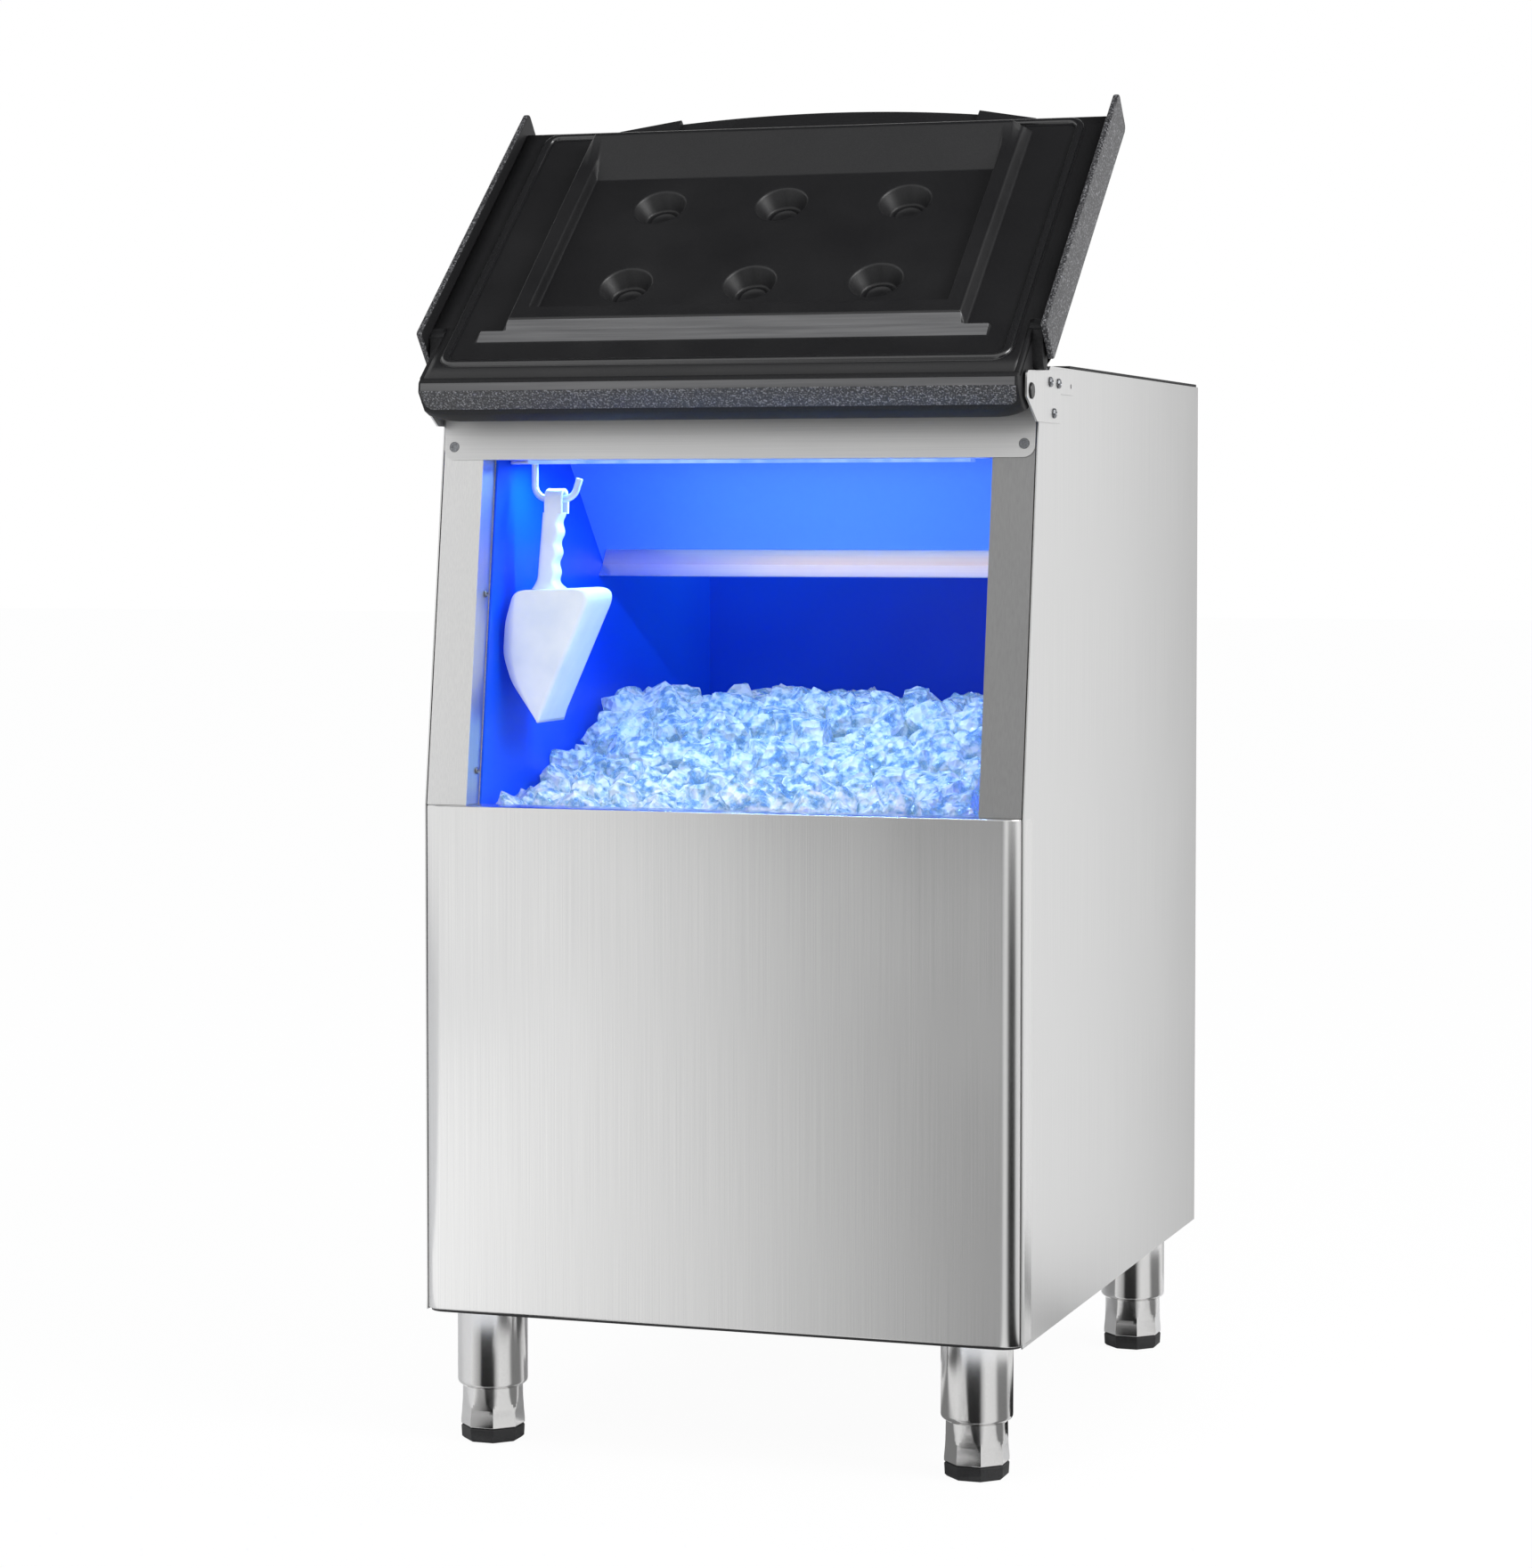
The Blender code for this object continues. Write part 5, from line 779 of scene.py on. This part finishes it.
def eased(points, share, count=60):
    """A run of straight pieces with its corners eased: each place is the mean of the run over a
    share of its length on both sides, and the run is mirrored through its ends to keep them."""
    run = along(points, 401)
    wide = int(200 * share)
    longer = np.concatenate([2 * run[0] - run[wide:0:-1], run, 2 * run[-1] - run[-2:-wide - 2:-1]])
    mean = sum(longer[k:k + 401] for k in range(2 * wide + 1)) / (2 * wide + 1)
    return along(mean, count)


spine = eased([MOUTH_TOP, CORNER, LIP], 0.20)
mouth = eased([MOUTH_TOP, (-0.0292, -0.0852), (-0.0375, -0.1127), (-0.0395, -0.1426),
               (-0.0316, -0.1674), LIP], 0.11)
gap = np.linalg.norm(mouth - spine, axis=1)
toward = (mouth - spine) / np.maximum(gap, 1e-9)[:, None]
take = np.minimum(FOLD, gap * 0.5)
# A side runs from the mouth's edge in eight steps to the fold, and by a quarter turn into the back.
side_points = []
for k in range(8):
    share = 1 - k / 8
    flat = spine + toward * (take + (gap - take) * share)[:, None]
    side_points.append(from_hook(flat[:, 0], -SCOOP_HALF, flat[:, 1]))
for a in np.radians(np.linspace(0, 90, 6)):
    flat = spine + toward * (take * (1 - math.sin(a)))[:, None]
    side_points.append(from_hook(flat[:, 0], -SCOOP_HALF + take * (1 - np.cos(a)), flat[:, 1]))
half_bowl = np.stack(side_points, 1)
other_half = half_bowl[:, ::-1].copy()
other_half[..., 1] = 2 * HOOK_Y - other_half[..., 1]
bowl = surface(np.concatenate([half_bowl, other_half], 1))
scoop_bowl = make_piece("scoop_bowl", [bowl], white, "scoop", ["scoop"], crease=50)
thickness = scoop_bowl.modifiers.new("wall", "SOLIDIFY")
thickness.thickness = SCOOP_WALL
thickness.offset = -1


def grip_ring(left, right, depth, z, edge=0.004):
    """The grip cut across: a rectangle with round corners."""
    loop = rounded_box(left, -depth, right, depth, edge)
    return from_hook(loop[:, 0], loop[:, 1], z)


GRIP_TOP, GRIP_LOW = -0.0125, -0.0830
EYE_HALF, EYE_WIDE, EYE_THIN, EYE_EDGE = 0.00825, 0.0088, 0.00165, 0.0012
rings = []
for z in np.linspace(GRIP_TOP, GRIP_LOW, 72):
    down = (GRIP_TOP - z) / 0.0705
    lean = 0.0080 * (0.0102 - z) / 0.0905
    wave = 0.0012 * math.cos(math.tau * 4 * (0.0062 - z) / 0.0745)
    flare = max(0.0, (down - 0.82) / 0.18) ** 2
    rings.append(grip_ring(-0.0085 - lean - 0.004 * flare, 0.0085 - lean + wave + 0.008 * flare,
                           0.0100 + 0.003 * flare, z))
stem = surface(np.stack(rings), wrap_columns=True, caps=True)
arch = [(-EYE_HALF, z) for z in np.linspace(-0.0135, -0.0030, 4)]
arch += [(-EYE_HALF * math.cos(a), -0.0003 + 0.0082 * math.sin(a))
         for a in np.radians(np.linspace(15, 165, 13))]
arch += [(EYE_HALF, z) for z in np.linspace(-0.0030, -0.0135, 4)]
path = np.array([from_hook(0.0004, y, z) for y, z in arch])
section = rounded_box(-EYE_WIDE, -EYE_THIN, EYE_WIDE, EYE_THIN, EYE_EDGE, 4)
eye = swept(path, section[:, ::-1], (1, 0, 0))
make_piece("scoop_grip", [stem, eye], white, "scoop", crease=50)


# Ice: a heap of rounded, clear-white lumps about 27 mm across in the store, sloping down towards
# the sill at the front. It lies loose on the liner.

SILL_LEVEL, CREST_RISE, LUMP_GAP = 0.577, 0.068, 0.0245
STORE_X, STORE_FRONT, STORE_BACK = 0.2362, -0.2995, 0.3202
rng = np.random.default_rng(7)


def heap_top(x, y):
    """The heap's height: low at the sill, rising in an s-curve to a crest, then falling a little to
    the back, with low swells."""
    rise = np.clip((y + 0.215) / 0.235, 0, 1)
    level = SILL_LEVEL + CREST_RISE * rise * rise * (3 - 2 * rise)
    level = level - 0.012 * np.clip((y - 0.05) / 0.25, 0, 1)
    swell = 0.004 * np.sin(23 * x + 1.0) * np.sin(17 * y + 0.4)
    return level + swell + 0.003 * np.sin(47 * x - 31 * y)


# The blue in the lumps' colours and their faint blue glow are painted light of the store's blue lamp.
ice, tree, shader = new_finish("ice_painted_blue_light", (0.80, 0.93, 1.0), 0.10, IOR=1.31,
                               Specular_IOR_Level=0.9, Emission_Strength=0.07)
shader.inputs["Emission Color"].default_value = (0.50, 0.80, 1.0, 1)
frost = noise(tree, 95, 9.0)
tree.links.new(tint(tree, frost, (0.36, (0.24, 0.52, 0.98)), (0.46, (0.66, 0.85, 1.0)),
                    (0.58, (1.0, 1.0, 1.0))), shader.inputs["Base Color"])
tree.links.new(spread(tree, frost, 0.35, 0.65, 0.02, 0.16), shader.inputs["Roughness"])
tree.links.new(spread(tree, frost, 0.38, 0.55, 0.75, 0.25), shader.inputs["Transmission Weight"])
relief(tree, shader, noise(tree, 120, 0.0, kind="ShaderNodeTexVoronoi"), 0.9, 0.006)

# One lump is a cube with five points along each edge. A point is drawn in by 11 percent of what its
# squared distance from the middle has over one, so the corners are rounded most.
ticks = np.array([-1.0, -0.62, 0.0, 0.62, 1.0])
u, v = np.meshgrid(ticks, ticks)
one = np.ones_like(u)
sides = np.stack([np.stack(f, -1) for f in ((u, v, one), (v, u, -one), (one, u, v), (-one, v, u),
                                            (v, one, u), (u, -one, v))])
cube_quads = surface(sides[0].reshape(5, 5, 3))[1]
cube = sides.reshape(-1, 3)
cube_faces = np.concatenate([cube_quads + 25 * k for k in range(6)])
cube, order = np.unique(cube, axis=0, return_inverse=True)
cube_faces = order.reshape(-1)[cube_faces]
round_cube = cube * (1 - 0.22 * ((cube ** 2).sum(1) - 1) / 2)[:, None]

# The lumps lie in two uneven layers, with 34 more on the crest.
xs, ys = np.arange(-0.219, 0.2191, LUMP_GAP), np.arange(-0.280, 0.304, LUMP_GAP)
spots = []
for layer, sink in enumerate((0.0, 0.017)):
    gx, gy = np.meshgrid(xs + 0.006 * layer, ys + 0.011 * layer)
    gx = (gx + rng.uniform(-0.008, 0.008, gx.shape)).clip(-0.2195, 0.2195)
    gy = (gy + rng.uniform(-0.008, 0.008, gy.shape)).clip(-0.282, 0.301)
    gz = heap_top(gx, gy) - sink + rng.uniform(-0.008, 0.011, gx.shape)
    spots.append(np.stack([gx, gy, gz], -1).reshape(-1, 3))
gx, gy = rng.uniform(-0.21, 0.21, 34), rng.uniform(-0.03, 0.09, 34)
spots.append(np.stack([gx, gy, heap_top(gx, gy) + 0.011], -1))
spots = np.concatenate(spots)
# Each is bulged and dented, and then turned about an axis of its own: a point times the cosine, plus
# the axis crossed with it times the sine, plus its part along the axis times one minus the cosine.
count = len(spots)
axis = rng.normal(size=(count, 3))
axis /= np.linalg.norm(axis, axis=1)[:, None]
turn = rng.uniform(0, math.pi, count)
sine, cosine = np.sin(turn)[:, None, None], np.cos(turn)[:, None, None]
size = rng.uniform(0.0105, 0.0165, (count, 1, 3))
swell, skew = rng.normal(size=(2, count, 3))
bulge = (round_cube @ swell.T).T[..., None] * (round_cube @ skew.T).T[..., None]
shape = round_cube[None] * size * (1 + 0.13 * bulge.clip(-1.5, 1.5))
shape *= 1 + rng.uniform(-0.10, 0.10, (count, len(cube), 1))
k = axis[:, None]
cubes = (shape * cosine + np.cross(np.broadcast_to(k, shape.shape), shape) * sine
         + k * (shape * k).sum(-1, keepdims=True) * (1 - cosine)) + spots[:, None]
cubes[..., 0] = cubes[..., 0].clip(-STORE_X, STORE_X)
cubes[..., 1] = cubes[..., 1].clip(STORE_FRONT, STORE_BACK)
ice_faces = (cube_faces[None] + (np.arange(count) * len(cube))[:, None, None]).reshape(-1, 4)
make_piece("ice_cubes", [(cubes.reshape(-1, 3), ice_faces, [])], ice, "cabinet", crease=18)

# The packed ice's blue colour is painted light of the store's blue lamp.
bed, tree, shader = new_finish("packed_ice_painted_blue_light", (0.50, 0.78, 1.0), 0.35)
frost = noise(tree, 90, 4.0)
mottle(tree, shader, frost, (0.25, 0.55, 0.95), (0.70, 0.90, 1.0), 0.35, 0.65)
relief(tree, shader, frost, 0.8, 0.004)
gx, gy = np.meshgrid(np.linspace(-0.2355, 0.2355, 60), np.linspace(-0.2990, 0.3195, 80),
                     indexing="ij")
top = np.stack([gx, gy, heap_top(gx, gy) - 0.016], -1)
low = top.copy()
low[..., 2] = 0.1665
rim = [np.concatenate([top[:, 0], top[-1, 1:], top[-2::-1, -1], top[0, -2:0:-1]]),
       np.concatenate([low[:, 0], low[-1, 1:], low[-2::-1, -1], low[0, -2:0:-1]])]
make_piece("ice_bed", [surface(top), surface(low), surface(np.stack(rim), wrap_columns=True)], bed,
           "cabinet", crease=60)


# Studio: a pale floor that keeps a soft shadow, a white surround, two soft lamps, the lamp's light in
# the store, and graded cards that only reflections see, as a photographer sets them round steel.


def white_to_eye(tree):
    """One where a ray comes from the camera, or off a glossy or a clear surface, and else zero."""
    rays = tree.nodes.new("ShaderNodeLightPath")
    total = rays.outputs["Is Camera Ray"]
    for kind in ("Is Glossy Ray", "Is Transmission Ray"):
        larger = tree.nodes.new("ShaderNodeMath")
        larger.operation = "MAXIMUM"
        tree.links.new(total, larger.inputs[0])
        tree.links.new(rays.outputs[kind], larger.inputs[1])
        total = larger.outputs[0]
    return total


world = bpy.data.worlds.new("white_surround")
bpy.context.scene.world = world
world.use_nodes = True
tree = world.node_tree
sky = tree.nodes["Background"]
share = white_to_eye(tree)
tree.links.new(spread(tree, share, 0, 1, 0.75, 1.0), sky.inputs["Strength"])
tree.links.new(tint(tree, share, (0, (0.97, 0.98, 1.0)), (1, (1.0, 1.0, 1.0))), sky.inputs["Color"])

floor_finish, tree, shader = new_finish("pale_floor", (0.86, 0.86, 0.86), 0.9)
glow = tree.nodes.new("ShaderNodeEmission")
mix = tree.nodes.new("ShaderNodeMixShader")
eye = tree.nodes.new("ShaderNodeLightPath").outputs["Is Camera Ray"]
glow.inputs["Strength"].default_value = 1.01
tree.links.new(spread(tree, eye, 0, 1, 0.0, 0.94), mix.inputs["Fac"])
tree.links.new(shader.outputs["BSDF"], mix.inputs[1])
tree.links.new(glow.outputs["Emission"], mix.inputs[2])
tree.links.new(mix.outputs["Shader"], tree.nodes["Material Output"].inputs["Surface"])


def stage_piece(name, points, faces, finish):
    """A piece of the set, which isn't part of the bin."""
    mesh = bpy.data.meshes.new(name)
    mesh.from_pydata(points, [], faces)
    mesh.materials.append(finish)
    made = bpy.data.objects.new(name, mesh)
    bpy.context.scene.collection.objects.link(made)
    return made


stage_piece("studio_floor", [(-30, -30, 0), (30, -30, 0), (30, 30, 0), (-30, 30, 0)], [(0, 1, 2, 3)],
            floor_finish)


def card(name, points, shade):
    """A curved card that only reflections see: a grid of points with a brightness at each."""
    finish = bpy.data.materials.new(name)
    finish.use_nodes = True
    tree = finish.node_tree
    tone = tree.nodes.new("ShaderNodeVertexColor")
    tone.layer_name = "shade"
    glow = tree.nodes.new("ShaderNodeEmission")
    tree.links.new(tone.outputs["Color"], glow.inputs["Color"])
    tree.links.new(glow.outputs["Emission"], tree.nodes["Material Output"].inputs["Surface"])
    spots, quads, _ = surface(points)
    made = stage_piece(name, spots.tolist(), quads.tolist(), finish)
    tones = made.data.color_attributes.new("shade", "FLOAT_COLOR", "POINT")
    tones.data.foreach_set("color", np.repeat(shade.reshape(-1, 1), 4, 1).ravel())
    made.visible_camera = made.visible_diffuse = False
    made.visible_shadow = made.visible_transmission = False


# From the panel's foot out over the floor, and then up: white at its left, grey at its right, and
# darker above 1 m.
CARD_FAR, CARD_LEVEL, CARD_TOP = 4.2, 0.1215, 2.5
share = np.linspace(-0.3, 2.5, 57)[None, :]
far = np.r_[np.linspace(0.004, CARD_FAR, 20), np.full(12, CARD_FAR)][:, None]
high = np.r_[np.full(20, CARD_LEVEL), np.linspace(0.2, CARD_TOP, 12)][:, None]
tone = np.interp(share, (-0.3, 0, 0.5, 1, 1.3, 2.5), (1.2, 1.15, 0.80, 0.36, 0.34, 0.5))
tone = tone * (1 - (0.06 + 0.44 * share.clip(0, 1)) * ((high - 1.0) / 0.5).clip(0, 1))
across = -0.28 - 0.43 * far + (0.56 + 0.16 * far) * share
card("front_card", np.stack(np.broadcast_arrays(across, -0.342 - far, high), -1), tone)


def fan(x, y, out, turn, high):
    """A fan of points round (x, y): out is the distance, and the turn starts at the front."""
    return np.stack(np.broadcast_arrays(x + out * np.sin(turn), y - out * np.cos(turn), high), -1)


# Round the pan's right corner: a pale band, a dark one, and a pale one towards the side.
FAN_FAR, FAN_LEVEL, FAN_TOP = 3.6, 0.1225, 1.3
out = np.r_[np.linspace(0.02, FAN_FAR, 12), FAN_FAR][:, None]
turn = np.radians(np.linspace(0, 100, 51))[None, :]
high = np.r_[np.full(12, FAN_LEVEL), FAN_TOP][:, None]
shade = np.interp(turn, np.radians((0, 8, 24, 34, 68, 78)), (0.40, 0.85, 0.85, 0.0, 0.0, 0.85))
card("corner_card", fan(0.2610, -0.323, out, turn, high), shade + 0 * out)

# Under three legs: the dark and light bands that turned steel shows.
out = np.linspace(0.034, 0.46, 12)[:, None]
turn = np.radians(np.linspace(-50, 140, 77))[None, :]
shade = np.interp(turn, np.radians((-50, -34, -20, -13, 24, 31, 42, 72, 84, 118, 128, 140)),
                  (0.9, 0.62, 0.4, 0.02, 0.02, 0.5, 0.85, 0.8, 0.22, 0.22, 0.6, 0.9))
for place in ("front_left", "front_right", "back_right"):
    card("leg_card", fan(*LEG_PLACES[place], out, turn, 0.004), shade + 0 * out)

# Behind the right side: grey beside the case and white further out. Above: almost black, for the lid.
across, along_y = np.meshgrid(np.linspace(0.286, 0.9, 12), (0.60, 0.601))
side_shade = np.interp(across, (0.29, 0.36, 0.45, 0.60), (0.50, 0.58, 0.80, 1.0))
card("side_card", np.stack([across, along_y, np.array([[0.0], [1.4]]) + 0 * across], -1), side_shade)
across, along_y = np.meshgrid(np.linspace(-2.2, 2.2, 3), np.linspace(-1.1, 2.4, 3))
card("top_card", np.stack([across, along_y, 3.0 + 0 * across], -1), 0.05 + 0 * across)


def lamp(name, place, aim, size, power, colour):
    """A soft rectangular lamp that faces its aim."""
    light = bpy.data.lights.new(name, "AREA")
    light.shape = "RECTANGLE"
    light.size, light.size_y = size
    light.energy = power
    light.color = colour
    made = bpy.data.objects.new(name, light)
    bpy.context.scene.collection.objects.link(made)
    made.location = place
    away = np.array(place, float) - np.array(aim, float)
    flat = math.hypot(away[0], away[1])
    made.rotation_euler = (math.atan2(flat, away[2]), 0, math.atan2(away[0], -away[1]))
    return made


key = lamp("key", (-1.5, -4.0, 3.7), (0, -0.3, 0.9), (1.6, 0.9), 34, (1.0, 1.0, 1.0))
key.visible_glossy = False
lamp("fill", (2.9, -1.0, 2.6), (0, 0, 0.9), (1.6, 1.6), 60, (1.0, 1.0, 1.0))
lamp("store_light", (0, -0.2120, 0.8892), (0, -0.17, 0.4), (0.42, 0.012), 1.6, (0.34, 0.60, 1.0))

# The camera stands where the photograph was taken from.
camera = bpy.data.objects.new("camera", bpy.data.cameras.new("camera"))
bpy.context.scene.collection.objects.link(camera)
camera.data.lens = 91.51
camera.data.sensor_width = 36
camera.data.shift_y = -0.06
camera.location = (1.16403, -3.64301, 0.83891)
camera.rotation_euler = (math.pi / 2 - 0.04261, 0, 0.32563)
bpy.context.scene.camera = camera
bpy.context.scene.view_settings.view_transform = "Standard"
